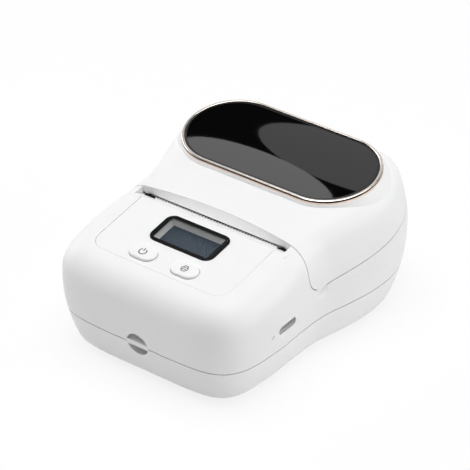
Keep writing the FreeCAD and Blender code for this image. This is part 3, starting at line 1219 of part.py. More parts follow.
# Guides with racks, and their pinion
def rack_shape(tip_side, from_x, to_x, phase):
    """A toothed bar along X; tip_side is +1 when its teeth point to +Y."""
    m = d.rack_module.number
    pitch = math.pi * m
    line_y = guide_pinion_y.number - tip_side * rack_pitch_y.number
    back = line_y - tip_side * (1.25 * m + d.rack_back.number)
    root = line_y - tip_side * 1.25 * m
    tip = line_y + tip_side * 0.9 * m
    half_root = pitch / 4 + 1.25 * m * math.tan(math.radians(20)) - d.backlash.number / 2
    half_tip = pitch / 4 - 0.9 * m * math.tan(math.radians(20)) - d.backlash.number / 2
    points = [(from_x, back), (from_x, root)]
    first = math.ceil((from_x + half_root - phase) / pitch)
    last = math.floor((to_x - half_root - phase) / pitch)
    for index in range(first, last + 1):
        middle = phase + index * pitch
        points.append((middle - half_root, root))
        points.append((middle - half_tip, tip))
        points.append((middle + half_tip, tip))
        points.append((middle + half_root, root))
    points.append((to_x, root))
    points.append((to_x, back))
    wire = Part.makePolygon([V(x, y, rack_low.number) for x, y in points + points[:1]])
    return Part.Face(wire).extrude(V(0, 0, d.rack_height.number))


guide_outer = d.guide_inner + d.guide_thickness
half_pitch = math.pi * d.rack_module.number / 2
right_rack = plain("right_rack", rack_shape(-1, -d.rack_overlap.number, guide_outer.number, half_pitch))
left_rack = plain("left_rack", rack_shape(1, -guide_outer.number, d.rack_overlap.number, half_pitch))
leg_back = guide_pinion_y + rack_reach
leg_front = guide_pinion_y - rack_reach


def make_guide(label, side, rack, leg_y):
    """A guide plate with core boss, finger tab and leg down to its rack."""
    def span(a, b):
        return (a, b) if side > 0 else (-size_of(b), -size_of(a))

    disc = rod(label + "_disc", "x", d.guide_radius, span(d.guide_inner, guide_outer), bay_y, d.bay_height)
    boss = rod(label + "_boss", "x", d.core_radius, span(d.guide_inner - d.core_length, d.guide_inner + 0.5),
               bay_y, d.bay_height)
    tab = box(label + "_tab", span(d.guide_inner, guide_outer), (bay_y - 3.5, bay_y + 3.5),
              (d.bay_height + d.guide_radius - 1.5, d.bay_height + d.guide_radius + 2.2))
    leg = prism(label + "_leg", (
        (leg_y[0], rack_low),
        (leg_y[1], rack_low),
        (leg_y[1], rack_high + 2.2),
        (bay_y - 6.0, rack_high + 2.8),
        (bay_y - 4.0, d.bay_height - 6.0),
        (bay_y - 13.0, d.bay_height - 4.0),
        (leg_y[0], rack_high + 5.0),
    ), span(d.guide_inner, guide_outer))
    return fuse(label, disc, boss, tab, leg, rack)


guide_right = make_guide("guide_right", 1, right_rack, (leg_back - d.rack_back, leg_back))
guide_left = make_guide("guide_left", -1, left_rack, (leg_front, leg_front + d.rack_back))


def flat_gear(teeth, module, backlash, low, high, spot, turn, bore):
    shape = gear_shape(teeth, module, backlash, low, high, (0.0, 0.0), turn, bore, 0.8)
    shape.rotate(V(), V(0, 1, 0), -90)
    shape.translate(V(spot[0], spot[1], 0.0))
    return shape


guide_pinion = plain("guide_pinion", flat_gear(
    GUIDE_TEETH, d.rack_module.number, d.backlash.number, rack_low.number + 0.1, rack_high.number - 0.1,
    (0.0, guide_pinion_y.number), math.pi / 2, (d.pinion_post_radius + d.running_gap).number))

paper_sensor = box("paper_sensor", (d.sensor_x, d.sensor_x + d.sensor_length),
                   (tub_y[0], tub_y[0] + d.sensor_depth), (d.tub_rim, d.tub_rim + d.sensor_height))

# Feet and case screws
rubber_feet = four("rubber_feet", lambda name, index: rod(
    name, "z", d.foot_radius, (0.0, d.foot_height + d.foot_recess), *foot_places[index]))


def case_screw(name, index):
    head = rod(name + "_head", "z", d.screw_head_radius, (screw_top - d.screw_head_height, screw_top),
               *screw_places[index])
    shank = rod(name + "_shank", "z", d.screw_radius, (screw_top - 0.3, screw_tip),
                *screw_places[index])
    return fuse(name, head, shank)


case_screws = four("case_screws", case_screw)

NODES = (
    lower_shell, upper_shell, lid_shell, hinge_pin, lid_plate, lid_trim, control_panel, display_bezel,
    display_window, display_frame, display_glass, panel_board, tact_switches, power_button, print_button,
    main_board, battery_pack, usb_socket, charge_light, mech_frame, idler_pin, idler_gear, motor,
    motor_pinion, head_sink, head_ceramic, head_pin, head_springs, platen_carrier, platen_bushes,
    platen_shaft, platen_rubber, platen_gear, carrier_screws, tear_bar, roll_tub, guide_left, guide_right,
    guide_pinion, guide_keeper, paper_sensor, rubber_feet, case_screws,
)
doc.recompute()
faults = [item.Label for item in doc.Objects if "Invalid" in item.State or "Error" in item.State]
for item in NODES:
    if item.Shape.isNull() or not item.Shape.isValid():
        faults.append(item.Label)
SKINS = ((lower_shell, lower_blank), (upper_shell, upper_blank), (lid_shell, lid_blank))
for item, blank in SKINS:
    if not 0.1 < item.Shape.Volume / blank.Shape.Volume < 0.5:
        faults.append(item.Label)
if faults:
    raise RuntimeError("not sound: " + ", ".join(faults))
os.makedirs("parts", exist_ok=True)
for item in NODES:
    item.Shape.exportStep("parts/%s.step" % item.Label)
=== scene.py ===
"""Looks of the label printer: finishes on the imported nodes, small added pieces, studio and camera."""
import json
import math

import bpy
from mathutils import Matrix, Vector


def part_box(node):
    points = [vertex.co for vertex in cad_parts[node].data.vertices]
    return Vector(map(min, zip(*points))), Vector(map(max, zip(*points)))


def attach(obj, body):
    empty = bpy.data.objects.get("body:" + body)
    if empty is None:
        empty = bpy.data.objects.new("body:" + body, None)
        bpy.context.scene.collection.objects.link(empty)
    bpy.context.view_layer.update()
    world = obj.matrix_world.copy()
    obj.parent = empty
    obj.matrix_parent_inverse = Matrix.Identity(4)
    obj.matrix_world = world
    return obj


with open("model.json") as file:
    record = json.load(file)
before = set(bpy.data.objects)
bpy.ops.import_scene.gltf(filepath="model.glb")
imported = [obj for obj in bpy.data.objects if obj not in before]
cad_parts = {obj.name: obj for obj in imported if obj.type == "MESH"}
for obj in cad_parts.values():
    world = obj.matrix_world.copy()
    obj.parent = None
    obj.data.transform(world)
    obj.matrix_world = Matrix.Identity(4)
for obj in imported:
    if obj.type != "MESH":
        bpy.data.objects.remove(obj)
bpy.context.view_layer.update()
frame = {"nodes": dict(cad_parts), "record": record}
bpy.ops.object.select_all(action="DESELECT")
nodes = frame["nodes"]
MM = 0.001

# The sloping top, the section of the trim round the oval plate, and the bands of painted highlight and
# painted shade on the trim
TOP_SLOPE = math.radians(8.5)
SLOPE_TURN = Matrix.Rotation(TOP_SLOPE, 4, "X")
SLOPE_NORMAL = SLOPE_TURN @ Vector((0.0, 0.0, 1.0))
TRIM_END_RADIUS = 16.5 * MM
TRIM_WIDTH = 1.1 * MM
TRIM_INNER_RADIUS = TRIM_END_RADIUS - TRIM_WIDTH
TRIM_HALF_HEIGHT = 0.7 * MM
# Where the trim's painted highlight and painted shade bands begin and end, and the width of its painted
# shaded inner edge
TRIM_ROUNDING = 0.37 * MM
TRIM_BAND_DROP = 0.62 * MM
TRIM_PAINTED_SHADE_EDGE = 0.2 * MM


def node_middle(name):
    low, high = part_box(name)
    return (Vector(low) + Vector(high)) / 2


def node_size(name):
    low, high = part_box(name)
    return Vector(high) - Vector(low)


# Shader steps
def start_material(name):
    material = bpy.data.materials.new(name)
    material.use_nodes = True
    tree = material.node_tree
    shader = tree.nodes["Principled BSDF"]
    place = tree.nodes.new("ShaderNodeTexCoord")
    return material, tree, shader, place


def feed(tree, socket, value):
    """Gives a socket a link where the value is another socket, or else a fixed value."""
    if isinstance(value, bpy.types.NodeSocket):
        tree.links.new(value, socket)
    else:
        socket.default_value = value


def math_step(tree, operation, *values):
    """One Math node on sockets or numbers."""
    step = tree.nodes.new("ShaderNodeMath")
    step.operation = operation
    for socket, value in zip(step.inputs, values):
        feed(tree, socket, value)
    return step.outputs["Value"]


def map_range(tree, value, start=0.0, end=1.0, low=0.0, high=1.0):
    """Takes a value from between start and end to between low and high."""
    span = tree.nodes.new("ShaderNodeMapRange")
    ends = {"Value": value, "From Min": start, "From Max": end, "To Min": low, "To Max": high}
    for label, level in ends.items():
        feed(tree, span.inputs[label], level)
    return span.outputs["Result"]


def mix_colours(tree, factor, first, second):
    mix = tree.nodes.new("ShaderNodeMix")
    mix.data_type = "RGBA"
    for label, value in (("Factor", factor), ("A", first), ("B", second)):
        feed(tree, mix.inputs[label], value)
    return mix.outputs["Result"]


def colour_ramp(tree, value, stops):
    """Colours along a value, each stop with its spot and its colour."""
    ramp = tree.nodes.new("ShaderNodeValToRGB")
    elements = ramp.color_ramp.elements
    first, *between, last = stops
    for element, (spot, colour) in zip(elements, (first, last)):
        element.position = spot
        element.color = (*colour, 1.0)
    for spot, colour in between:
        elements.new(spot).color = (*colour, 1.0)
    feed(tree, ramp.inputs["Fac"], value)
    return ramp.outputs["Color"]


def add_noise(tree, place, scale, detail, stretch=(1.0, 1.0, 1.0)):
    mapping = tree.nodes.new("ShaderNodeMapping")
    mapping.inputs["Scale"].default_value = stretch
    noise = tree.nodes.new("ShaderNodeTexNoise")
    noise.inputs["Scale"].default_value = scale
    noise.inputs["Detail"].default_value = detail
    tree.links.new(place.outputs["Object"], mapping.inputs["Vector"])
    tree.links.new(mapping.outputs["Vector"], noise.inputs["Vector"])
    return noise.outputs["Fac"]


def vary_colour(tree, shader, noise, colour, spread):
    dark = [max(0.0, part * (1.0 - spread)) for part in colour]
    light = [min(1.0, part * (1.0 + spread)) for part in colour]
    varied = mix_colours(tree, noise, (*dark, 1.0), (*light, 1.0))
    tree.links.new(varied, shader.inputs["Base Color"])


def vary_roughness(tree, shader, noise, low, high):
    tree.links.new(map_range(tree, noise, low=low, high=high), shader.inputs["Roughness"])


def add_bump(tree, shader, noise, strength, depth):
    bump = tree.nodes.new("ShaderNodeBump")
    bump.inputs["Strength"].default_value = strength
    bump.inputs["Distance"].default_value = depth
    tree.links.new(noise, bump.inputs["Height"])
    tree.links.new(bump.outputs["Normal"], shader.inputs["Normal"])


# Materials
def moulded_plastic(name, colour, rough, grain_scale=2600.0, grain=0.12):
    """Satin moulding: a fine spark grain with slow changes of colour."""
    material, tree, shader, place = start_material(name)
    cloud = add_noise(tree, place, scale=90.0, detail=2.0)
    fine = add_noise(tree, place, scale=grain_scale, detail=3.0)
    vary_colour(tree, shader, cloud, colour, spread=0.015)
    vary_roughness(tree, shader, fine, low=rough - 0.05, high=rough + 0.06)
    add_bump(tree, shader, fine, strength=grain, depth=0.06 * MM)
    shader.inputs["IOR"].default_value = 1.46
    return material


def start_polished(name, colour):
    """A polished base: a faint ripple in its colour, and hairline wear for its sheen."""
    material, tree, shader, place = start_material(name)
    ripple = add_noise(tree, place, scale=60.0, detail=1.0)
    wear = add_noise(tree, place, scale=1400.0, detail=4.0, stretch=(1.0, 0.15, 1.0))
    vary_colour(tree, shader, ripple, colour, spread=0.08)
    return material, tree, shader, wear


def gloss_plastic(name, colour, rough, coat=0.0, ior=1.5):
    """Polished moulding."""
    material, tree, shader, wear = start_polished(name, colour)
    vary_roughness(tree, shader, wear, low=rough * 0.6, high=rough * 1.5)
    shader.inputs["IOR"].default_value = ior
    shader.inputs["Coat Weight"].default_value = coat
    return material


def worked_metal(name, colour, rough, stretch=(1.0, 14.0, 14.0), scale=260.0, metallic=1.0):
    """Metal with drawn or turned lines along one way."""
    material, tree, shader, place = start_material(name)
    lines = add_noise(tree, place, scale=scale, detail=4.0, stretch=stretch)
    vary_colour(tree, shader, lines, colour, spread=0.06)
    vary_roughness(tree, shader, lines, low=max(0.03, rough - 0.07), high=rough + 0.09)
    add_bump(tree, shader, lines, strength=0.08, depth=0.03 * MM)
    shader.inputs["Metallic"].default_value = metallic
    return material


def oval_axes(tree):
    """A point's X, Y and Z from the oval's middle, along the slope and square to it."""
    place = tree.nodes.new("ShaderNodeTexCoord")
    mapping = tree.nodes.new("ShaderNodeMapping")
    mapping.vector_type = "TEXTURE"
    mapping.inputs["Location"].default_value = node_middle("lid_trim")
    mapping.inputs["Rotation"].default_value = (TOP_SLOPE, 0.0, 0.0)
    tree.links.new(place.outputs["Object"], mapping.inputs["Vector"])
    split = tree.nodes.new("ShaderNodeSeparateXYZ")
    tree.links.new(mapping.outputs["Vector"], split.inputs["Vector"])
    return split.outputs


def oval_reach(tree, axes):
    """How far a point lies from the oval's long middle line."""
    straight = node_size("lid_trim").x / 2 - TRIM_END_RADIUS
    away = math_step(tree, "ABSOLUTE", axes["X"])
    past_end = math_step(tree, "MAXIMUM", math_step(tree, "SUBTRACT", away, straight), 0.0)
    end_square = math_step(tree, "MULTIPLY", past_end, past_end)
    side_square = math_step(tree, "MULTIPLY", axes["Y"], axes["Y"])
    return math_step(tree, "SQRT", math_step(tree, "ADD", end_square, side_square))


def trim_with_painted_light(name, painted_highlight_gold, painted_groove_shade, outer_rose):
    """Polished rose-gold trim with painted light: a painted shaded inner edge, a pale painted highlight
    over the top, a dark band of painted shade where a groove would be, and a rose foot.
    """
    material, tree, shader, place = start_material(name)
    axes = oval_axes(tree)
    reach = oval_reach(tree, axes)
    outwards = math_step(tree, "SUBTRACT", reach, axes["Z"])
    band_start = TRIM_INNER_RADIUS - TRIM_HALF_HEIGHT + TRIM_ROUNDING
    band_end = TRIM_END_RADIUS + TRIM_BAND_DROP
    across = map_range(tree, outwards, start=band_start, end=band_end)
    # Across the trim: pale painted highlight, dark painted shade of a groove, then the rose-gold colour
    bands = colour_ramp(tree, across, (
        (0.0, painted_highlight_gold),
        (0.37, painted_highlight_gold),
        (0.42, painted_groove_shade),
        (0.68, painted_groove_shade),
        (0.75, outer_rose),
        (1.0, outer_rose),
    ))
    # A painted shaded edge along the inside of the trim, next to the black plate
    shade_edge_end = TRIM_INNER_RADIUS + TRIM_PAINTED_SHADE_EDGE
    inner = map_range(tree, reach, start=shade_edge_end - TRIM_PAINTED_SHADE_EDGE / 2, end=shade_edge_end)
    painted_bands_colour = mix_colours(tree, inner, (*painted_groove_shade, 1.0), bands)
    tree.links.new(painted_bands_colour, shader.inputs["Base Color"])
    wear = add_noise(tree, place, scale=160.0, detail=3.0, stretch=(1.0, 1.0, 8.0))
    vary_roughness(tree, shader, wear, low=0.1, high=0.2)
    shader.inputs["Metallic"].default_value = 0.75
    return material


def lacquered_plate(name, colour, rough, rim_width, rim_blend, rim_rough):
    """Deep lacquer with a mirror face and a duller rim beside the trim."""
    material, tree, shader, wear = start_polished(name, colour)
    reach = oval_reach(tree, oval_axes(tree))
    rim_start = TRIM_INNER_RADIUS - rim_width
    rim = map_range(tree, reach, start=rim_start, end=rim_start + rim_blend, high=rim_rough)
    sheen = math_step(tree, "MULTIPLY_ADD", wear, rough, rough / 2)
    tree.links.new(math_step(tree, "ADD", sheen, rim), shader.inputs["Roughness"])
    shader.inputs["IOR"].default_value = 1.59
    return material


def ground_rubber(name, colour, rough):
    """Dull rubber with a ground, slightly dusty skin."""
    material, tree, shader, place = start_material(name)
    dust = add_noise(tree, place, scale=1500.0, detail=5.0)
    vary_colour(tree, shader, dust, colour, spread=0.3)
    vary_roughness(tree, shader, dust, low=rough - 0.08, high=rough + 0.08)
    add_bump(tree, shader, dust, strength=0.3, depth=0.08 * MM)
    return material


def clear_window(name, colour, alpha):
    """Thin clear window: mostly see-through, with gloss on its face."""
    material, tree, shader, place = start_material(name)
    haze = add_noise(tree, place, scale=220.0, detail=2.0)
    vary_colour(tree, shader, haze, colour, spread=0.05)
    vary_roughness(tree, shader, haze, low=0.02, high=0.05)
    shader.inputs["Alpha"].default_value = alpha
    return material


def circuit_board(name, mask_colour, dim_colour, run_colour):
    """Solder mask with paler copper runs under it."""
    material, tree, shader, place = start_material(name)
    runs = tree.nodes.new("ShaderNodeTexBrick")
    runs.inputs["Scale"].default_value = 420.0
    runs.inputs["Mortar Size"].default_value = 0.05
    runs.inputs["Color1"].default_value = (*mask_colour, 1.0)
    runs.inputs["Color2"].default_value = (*dim_colour, 1.0)
    runs.inputs["Mortar"].default_value = (*run_colour, 1.0)
    tree.links.new(place.outputs["Object"], runs.inputs["Vector"])
    tree.links.new(runs.outputs["Color"], shader.inputs["Base Color"])
    fine = add_noise(tree, place, scale=500.0, detail=2.0)
    vary_roughness(tree, shader, fine, low=0.28, high=0.42)
    return material


# One finish for each material slot of the record, and the ink of the signs
FINE_GRAIN = 3200.0
finishes = {
    "case_white": moulded_plastic("satin_white_case", (0.86, 0.86, 0.865), rough=0.46),
    "panel_white": moulded_plastic("satin_white_panel", (0.87, 0.87, 0.875), rough=0.4,
                                   grain_scale=FINE_GRAIN, grain=0.08),
    "key_white": moulded_plastic("smooth_white_key", (0.88, 0.88, 0.88), rough=0.36,
                                 grain_scale=FINE_GRAIN, grain=0.05),
    "oval_black": lacquered_plate("piano_black", (0.0012, 0.0012, 0.0013), rough=0.022,
                                  rim_width=0.7 * MM, rim_blend=0.28 * MM, rim_rough=0.5),
    # The trim's pale and dark bands are painted highlight and painted shade over its rose-gold colour
    "trim_gold": trim_with_painted_light("rose_gold_with_painted_light", painted_highlight_gold=(0.98, 0.91, 0.84),
                             painted_groove_shade=(0.02, 0.011, 0.008), outer_rose=(0.93, 0.77, 0.67)),
    "bezel_black": gloss_plastic("bezel_black", (0.003, 0.003, 0.0035), rough=0.16, ior=1.2),
    "window_clear": clear_window("clear_window", (0.04, 0.045, 0.05), alpha=0.08),
    "frame_grey": moulded_plastic("light_reflector", (0.74, 0.74, 0.73), rough=0.5, grain=0.06),
    "display_dark": gloss_plastic("unlit_display", (0.021, 0.04, 0.065), rough=0.2),
    "board_green": circuit_board("board_green", mask_colour=(0.012, 0.11, 0.05),
                                 dim_colour=(0.0096, 0.088, 0.04), run_colour=(0.0404, 0.207, 0.105)),
    "switch_dark": moulded_plastic("switch_dark", (0.025, 0.025, 0.025), rough=0.5),
    "battery_wrap": gloss_plastic("battery_film", (0.03, 0.075, 0.2), rough=0.24),
    "socket_steel": worked_metal("socket_plating", (0.88, 0.88, 0.89), rough=0.4, metallic=0.4),
    "lamp_clear": gloss_plastic("milky_light_pipe", (0.7, 0.7, 0.66), rough=0.2),
    "frame_steel": worked_metal("zinc_sheet", (0.58, 0.58, 0.6), rough=0.36, stretch=(1.0, 6.0, 1.0),
                                scale=300.0),
    "gear_white": moulded_plastic("natural_acetal", (0.78, 0.76, 0.7), rough=0.38),
    "motor_steel": worked_metal("motor_can", (0.5, 0.5, 0.52), rough=0.3),
    "pinion_brass": worked_metal("turned_brass", (0.72, 0.5, 0.22), rough=0.25),
    "sink_aluminium": worked_metal("drawn_aluminium", (0.72, 0.72, 0.74), rough=0.34,
                                   stretch=(0.3, 14.0, 14.0)),
    "head_ceramic": gloss_plastic("glazed_ceramic", (0.2, 0.1, 0.05), rough=0.14, coat=0.4),
    "spring_steel": worked_metal("spring_sheet", (0.5, 0.5, 0.52), rough=0.28),
    "shaft_steel": worked_metal("ground_steel", (0.6, 0.6, 0.62), rough=0.2),
    "carrier_grey": moulded_plastic("carrier_dark", (0.07, 0.07, 0.075), rough=0.5),
    "platen_black": ground_rubber("platen_rubber", (0.018, 0.018, 0.018), rough=0.72),
    "tear_steel": worked_metal("blasted_stainless", (0.88, 0.88, 0.88), rough=0.4,
                               stretch=(0.4, 10.0, 10.0), metallic=0.25),
    "tub_grey": moulded_plastic("tub_dark", (0.1, 0.1, 0.105), rough=0.5),
    "guide_grey": moulded_plastic("guide_grey", (0.36, 0.36, 0.38), rough=0.48),
    "foot_rubber": ground_rubber("foot_rubber", (0.06, 0.06, 0.06), rough=0.8),
    "screw_steel": worked_metal("black_plated_steel", (0.07, 0.07, 0.075), rough=0.34),
    "sign_grey": moulded_plastic("sign_ink", (0.07, 0.07, 0.075), rough=0.5, grain_scale=FINE_GRAIN,
                                 grain=0.05),
}


def dress(item, finish):
    item.data.materials.clear()
    item.data.materials.append(finishes[finish])


for entry in frame["record"]["subparts"]:
    dress(nodes[entry["node"]], entry["material_slot"])


# Modelling steps that the added pieces share
FACE_TOLERANCE = 0.02 * MM


def name_new_piece(name):
    piece = bpy.context.view_layer.objects.active
    piece.name = name
    piece.data.name = name
    return piece


def settle(piece, place):
    """Puts the place into the mesh, so the object itself sits at the origin."""
    bpy.ops.object.select_all(action="DESELECT")
    piece.select_set(True)
    bpy.context.view_layer.objects.active = piece
    piece.matrix_world = place @ piece.matrix_world
    bpy.ops.object.transform_apply(location=True, rotation=True, scale=True)


def start_block(name, length, width, height):
    """A block of the given size round the origin, left in edit mode with all of it selected."""
    bpy.ops.object.select_all(action="DESELECT")
    bpy.ops.mesh.primitive_cube_add(size=1.0)
    piece = name_new_piece(name)
    bpy.ops.object.mode_set(mode="EDIT")
    bpy.ops.mesh.select_all(action="SELECT")
    bpy.ops.transform.resize(value=(length, width, height))
    return piece


def choose_points(piece, test):
    """Selects the points that pass a test and leaves the piece in edit mode."""
    bpy.ops.object.mode_set(mode="EDIT")
    bpy.ops.mesh.select_mode(type="VERT")
    bpy.ops.mesh.select_all(action="DESELECT")
    bpy.ops.object.mode_set(mode="OBJECT")
    for vertex in piece.data.vertices:
        vertex.select = test(vertex.co)
    bpy.ops.object.mode_set(mode="EDIT")


def join_pieces(name, pieces, body, finish):
    bpy.ops.object.select_all(action="DESELECT")
    for piece in pieces:
        piece.select_set(True)
    bpy.context.view_layer.objects.active = pieces[0]
    bpy.ops.object.join()
    whole = name_new_piece(name)
    dress(whole, finish)
    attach(whole, body)


def top_face(node):
    """Frame on a node's sloping top face: X to the right, Z square to the slope."""
    corners = [vertex.co for vertex in nodes[node].data.vertices]
    reach = max(SLOPE_NORMAL.dot(corner) for corner in corners)
    top = [corner for corner in corners if SLOPE_NORMAL.dot(corner) > reach - FACE_TOLERANCE]
    across = [corner.x for corner in top]
    along = [corner.y for corner in top]
    spot = Vector(((min(across) + max(across)) / 2, (min(along) + max(along)) / 2, top[0].z))
    spot = spot + SLOPE_NORMAL * (reach - SLOPE_NORMAL.dot(spot))
    return Matrix.Translation(spot) @ SLOPE_TURN


# The black border printed on the clear window
BORDER_WIDTH = 0.6 * MM
BORDER_DEPTH = 0.02 * MM
BORDER_CORNER = 1.15 * MM
BORDER_LIFT = 0.005 * MM


def add_window_border(name):
    """A flat frame as large as the window, just inside its bezel."""
    face = top_face("display_window")
    corners = [face.inverted() @ vertex.co for vertex in nodes["display_window"].data.vertices]
    length = max(corner.x for corner in corners) * 2
    breadth = max(corner.y for corner in corners) * 2
    bpy.ops.object.select_all(action="DESELECT")
    bpy.ops.mesh.primitive_plane_add(size=1.0)
    piece = name_new_piece(name)
    bpy.ops.object.mode_set(mode="EDIT")
    bpy.ops.mesh.select_mode(type="VERT")
    bpy.ops.mesh.select_all(action="SELECT")
    bpy.ops.transform.resize(value=(length, breadth, 1.0))
    bpy.ops.mesh.bevel(offset=BORDER_CORNER, segments=8, affect="VERTICES")
    bpy.ops.mesh.select_mode(type="FACE")
    bpy.ops.mesh.select_all(action="SELECT")
    bpy.ops.mesh.inset(thickness=BORDER_WIDTH)
    bpy.ops.mesh.delete(type="FACE")
    bpy.ops.mesh.select_all(action="SELECT")
    bpy.ops.mesh.extrude_region_move(TRANSFORM_OT_translate={"value": (0.0, 0.0, BORDER_DEPTH)})
    bpy.ops.mesh.select_all(action="SELECT")
    bpy.ops.mesh.normals_make_consistent(inside=False)
    bpy.ops.object.mode_set(mode="OBJECT")
    settle(piece, face @ Matrix.Translation((0.0, 0.0, BORDER_LIFT)))
    dress(piece, "bezel_black")
    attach(piece, "base")


add_window_border("window_border")


# Printed signs on the keys
SIGN_LIFT = 0.015 * MM
SIGN_DEPTH = 0.04 * MM
SIGN_ROUND = 0.012 * MM
STROKE_WIDTH = 0.36 * MM
FINE_STROKE_WIDTH = 0.26 * MM
RING_RADIUS = 1.2 * MM
RING_HALF_GAP = math.radians(36)
RING_DROP = 0.1 * MM
POWER_BAR_LENGTH = 1.3 * MM
POWER_BAR_Y = 0.75 * MM


def add_stroke(name, length, width, x, y, face):
    """A short ink stroke with softened edges, on a key's face."""
    piece = start_block(name, length, width, SIGN_DEPTH)
    bpy.ops.mesh.bevel(offset=SIGN_ROUND, segments=2, affect="EDGES")
    bpy.ops.object.mode_set(mode="OBJECT")
    settle(piece, face @ Matrix.Translation((x, y, SIGN_LIFT)))
    return piece


def add_open_ring(name, face):
    """A flat ring with a gap at its top."""
    bpy.ops.object.select_all(action="DESELECT")
    bpy.ops.mesh.primitive_torus_add(major_segments=72, minor_segments=10, major_radius=RING_RADIUS,
                                     minor_radius=STROKE_WIDTH / 2)
    piece = name_new_piece(name)
    bpy.ops.object.mode_set(mode="EDIT")
    bpy.ops.mesh.select_mode(type="FACE")
    bpy.ops.mesh.select_all(action="SELECT")
    bpy.ops.transform.resize(value=(1.0, 1.0, SIGN_DEPTH / STROKE_WIDTH))
    bpy.ops.mesh.select_all(action="DESELECT")
    bpy.ops.object.mode_set(mode="OBJECT")
    for polygon in piece.data.polygons:
        away = abs(math.atan2(polygon.center.x, polygon.center.y))
        polygon.select = away < RING_HALF_GAP
    bpy.ops.object.mode_set(mode="EDIT")
    bpy.ops.mesh.delete(type="FACE")
    bpy.ops.mesh.select_all(action="SELECT")
    bpy.ops.mesh.fill_holes(sides=0)
    bpy.ops.mesh.normals_make_consistent(inside=False)
    bpy.ops.object.mode_set(mode="OBJECT")
    bpy.ops.object.shade_smooth()
    settle(piece, face @ Matrix.Translation((0.0, -RING_DROP, SIGN_LIFT)))
    return piece


power_face = top_face("power_button")
power_ring = add_open_ring("power_ring", power_face)
power_bar = add_stroke("power_bar", STROKE_WIDTH, POWER_BAR_LENGTH, 0.0, POWER_BAR_Y, power_face)
join_pieces("power_sign", [power_ring, power_bar], "power_key", "sign_grey")

# The printer sign, in millimetres on the key: level strokes by length and y, pairs by height, x and y
LEVEL_STROKES = {
    "sheet_top": (1.3, 1.2),
    "tray_top": (2.3, 0.45),
    "label_top": (1.5, -0.3),
    "label_low": (1.5, -1.1),
}
STROKE_PAIRS = {
    "sheet_side": (0.85, 0.62, 0.9),
    "tray_side": (1.2, 1.05, -0.05),
    "label_side": (0.95, 0.66, -0.7),
}
print_face = top_face("print_button")
print_pieces = []
for name, (length, y) in LEVEL_STROKES.items():
    print_pieces.append(add_stroke(name, length * MM, FINE_STROKE_WIDTH, 0.0, y * MM, print_face))
for name, (height, x, y) in STROKE_PAIRS.items():
    for side in (-1, 1):
        side_x = side * x * MM
        print_pieces.append(add_stroke(name, FINE_STROKE_WIDTH, height * MM, side_x, y * MM, print_face))
join_pieces("print_sign", print_pieces, "print_key", "sign_grey")


# The lid's bevelled lip over the tear bar
TOOTH_LENGTH = 1.1 * MM
MOUTH_HALF_WIDTH = 28.0 * MM
LIP_BOW = 2.4 * MM
LIP_RADIUS = (MOUTH_HALF_WIDTH ** 2 + LIP_BOW ** 2) / (2 * LIP_BOW)
LIP_POINTS = 1080
LIP_HALF_LENGTH = 25.1 * MM
LIP_TOP_HEIGHT = 40.2 * MM
LIP_FOOT_LIFT = 0.65 * MM
LIP_SETBACK = 0.45 * MM
LINE_TOLERANCE = 0.001 * MM
bar_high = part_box("tear_bar")[1]
mouth_y = bar_high[1] - TOOTH_LENGTH


def add_lip_bevel(name):
    """The sloping face from the lid's bowed front edge down to just above the teeth."""
    foot = bar_high[2] + LIP_FOOT_LIFT
    front = mouth_y + LIP_SETBACK
    half_way = (foot + LIP_TOP_HEIGHT) / 2
    bpy.ops.object.select_all(action="DESELECT")
    bpy.ops.mesh.primitive_circle_add(vertices=LIP_POINTS, radius=LIP_RADIUS)
    piece = name_new_piece(name)
    middle = Matrix.Translation((0.0, mouth_y + LIP_BOW, LIP_TOP_HEIGHT))
    settle(piece, middle @ SLOPE_TURN @ Matrix.Translation((0.0, -LIP_RADIUS, 0.0)))
    choose_points(piece, lambda spot: abs(spot.x) > LIP_HALF_LENGTH or spot.y < mouth_y - LIP_RADIUS)
    bpy.ops.mesh.delete(type="VERT")
    bpy.ops.mesh.select_all(action="SELECT")
    bpy.ops.mesh.extrude_edges_move(TRANSFORM_OT_translate={"value": (0.0, 0.0, foot - LIP_TOP_HEIGHT)})
    bpy.ops.transform.resize(value=(1.0, 1.0, 0.0), center_override=(0.0, 0.0, foot))
    bpy.ops.mesh.extrude_edges_move(TRANSFORM_OT_translate={"value": (0.0, 0.0, 0.0)})
    bpy.ops.transform.resize(value=(1.0, 0.0, 1.0), center_override=(0.0, front, foot))
    bpy.ops.object.mode_set(mode="OBJECT")
    choose_points(piece, lambda spot: spot.z > half_way or abs(spot.y - front) < LINE_TOLERANCE)
    bpy.ops.mesh.select_mode(type="EDGE")
    bpy.ops.mesh.bridge_edge_loops()
    bpy.ops.mesh.select_all(action="SELECT")
    bpy.ops.mesh.fill_holes(sides=0)
    bpy.ops.mesh.normals_make_consistent(inside=False)
    bpy.ops.object.mode_set(mode="OBJECT")
    dress(piece, "case_white")
    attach(piece, "lid")


add_lip_bevel("lip_bevel")


# Black wedges at the tear bar's ends: painted shade, as solid dark pieces where the slot's deep ends
# show dark
WEDGE_DEPTH = 0.5 * MM
WEDGE_HEIGHT = 0.95 * MM
WEDGE_FALL = 0.7 * WEDGE_HEIGHT
WEDGE_ROUND = 0.05 * MM
OUTER_WEDGE_LENGTH = 1.8 * MM
OUTER_WEDGE_X = 26.1 * MM
INNER_WEDGE_LENGTH = 1.9 * MM
INNER_WEDGE_X = 24.1 * MM


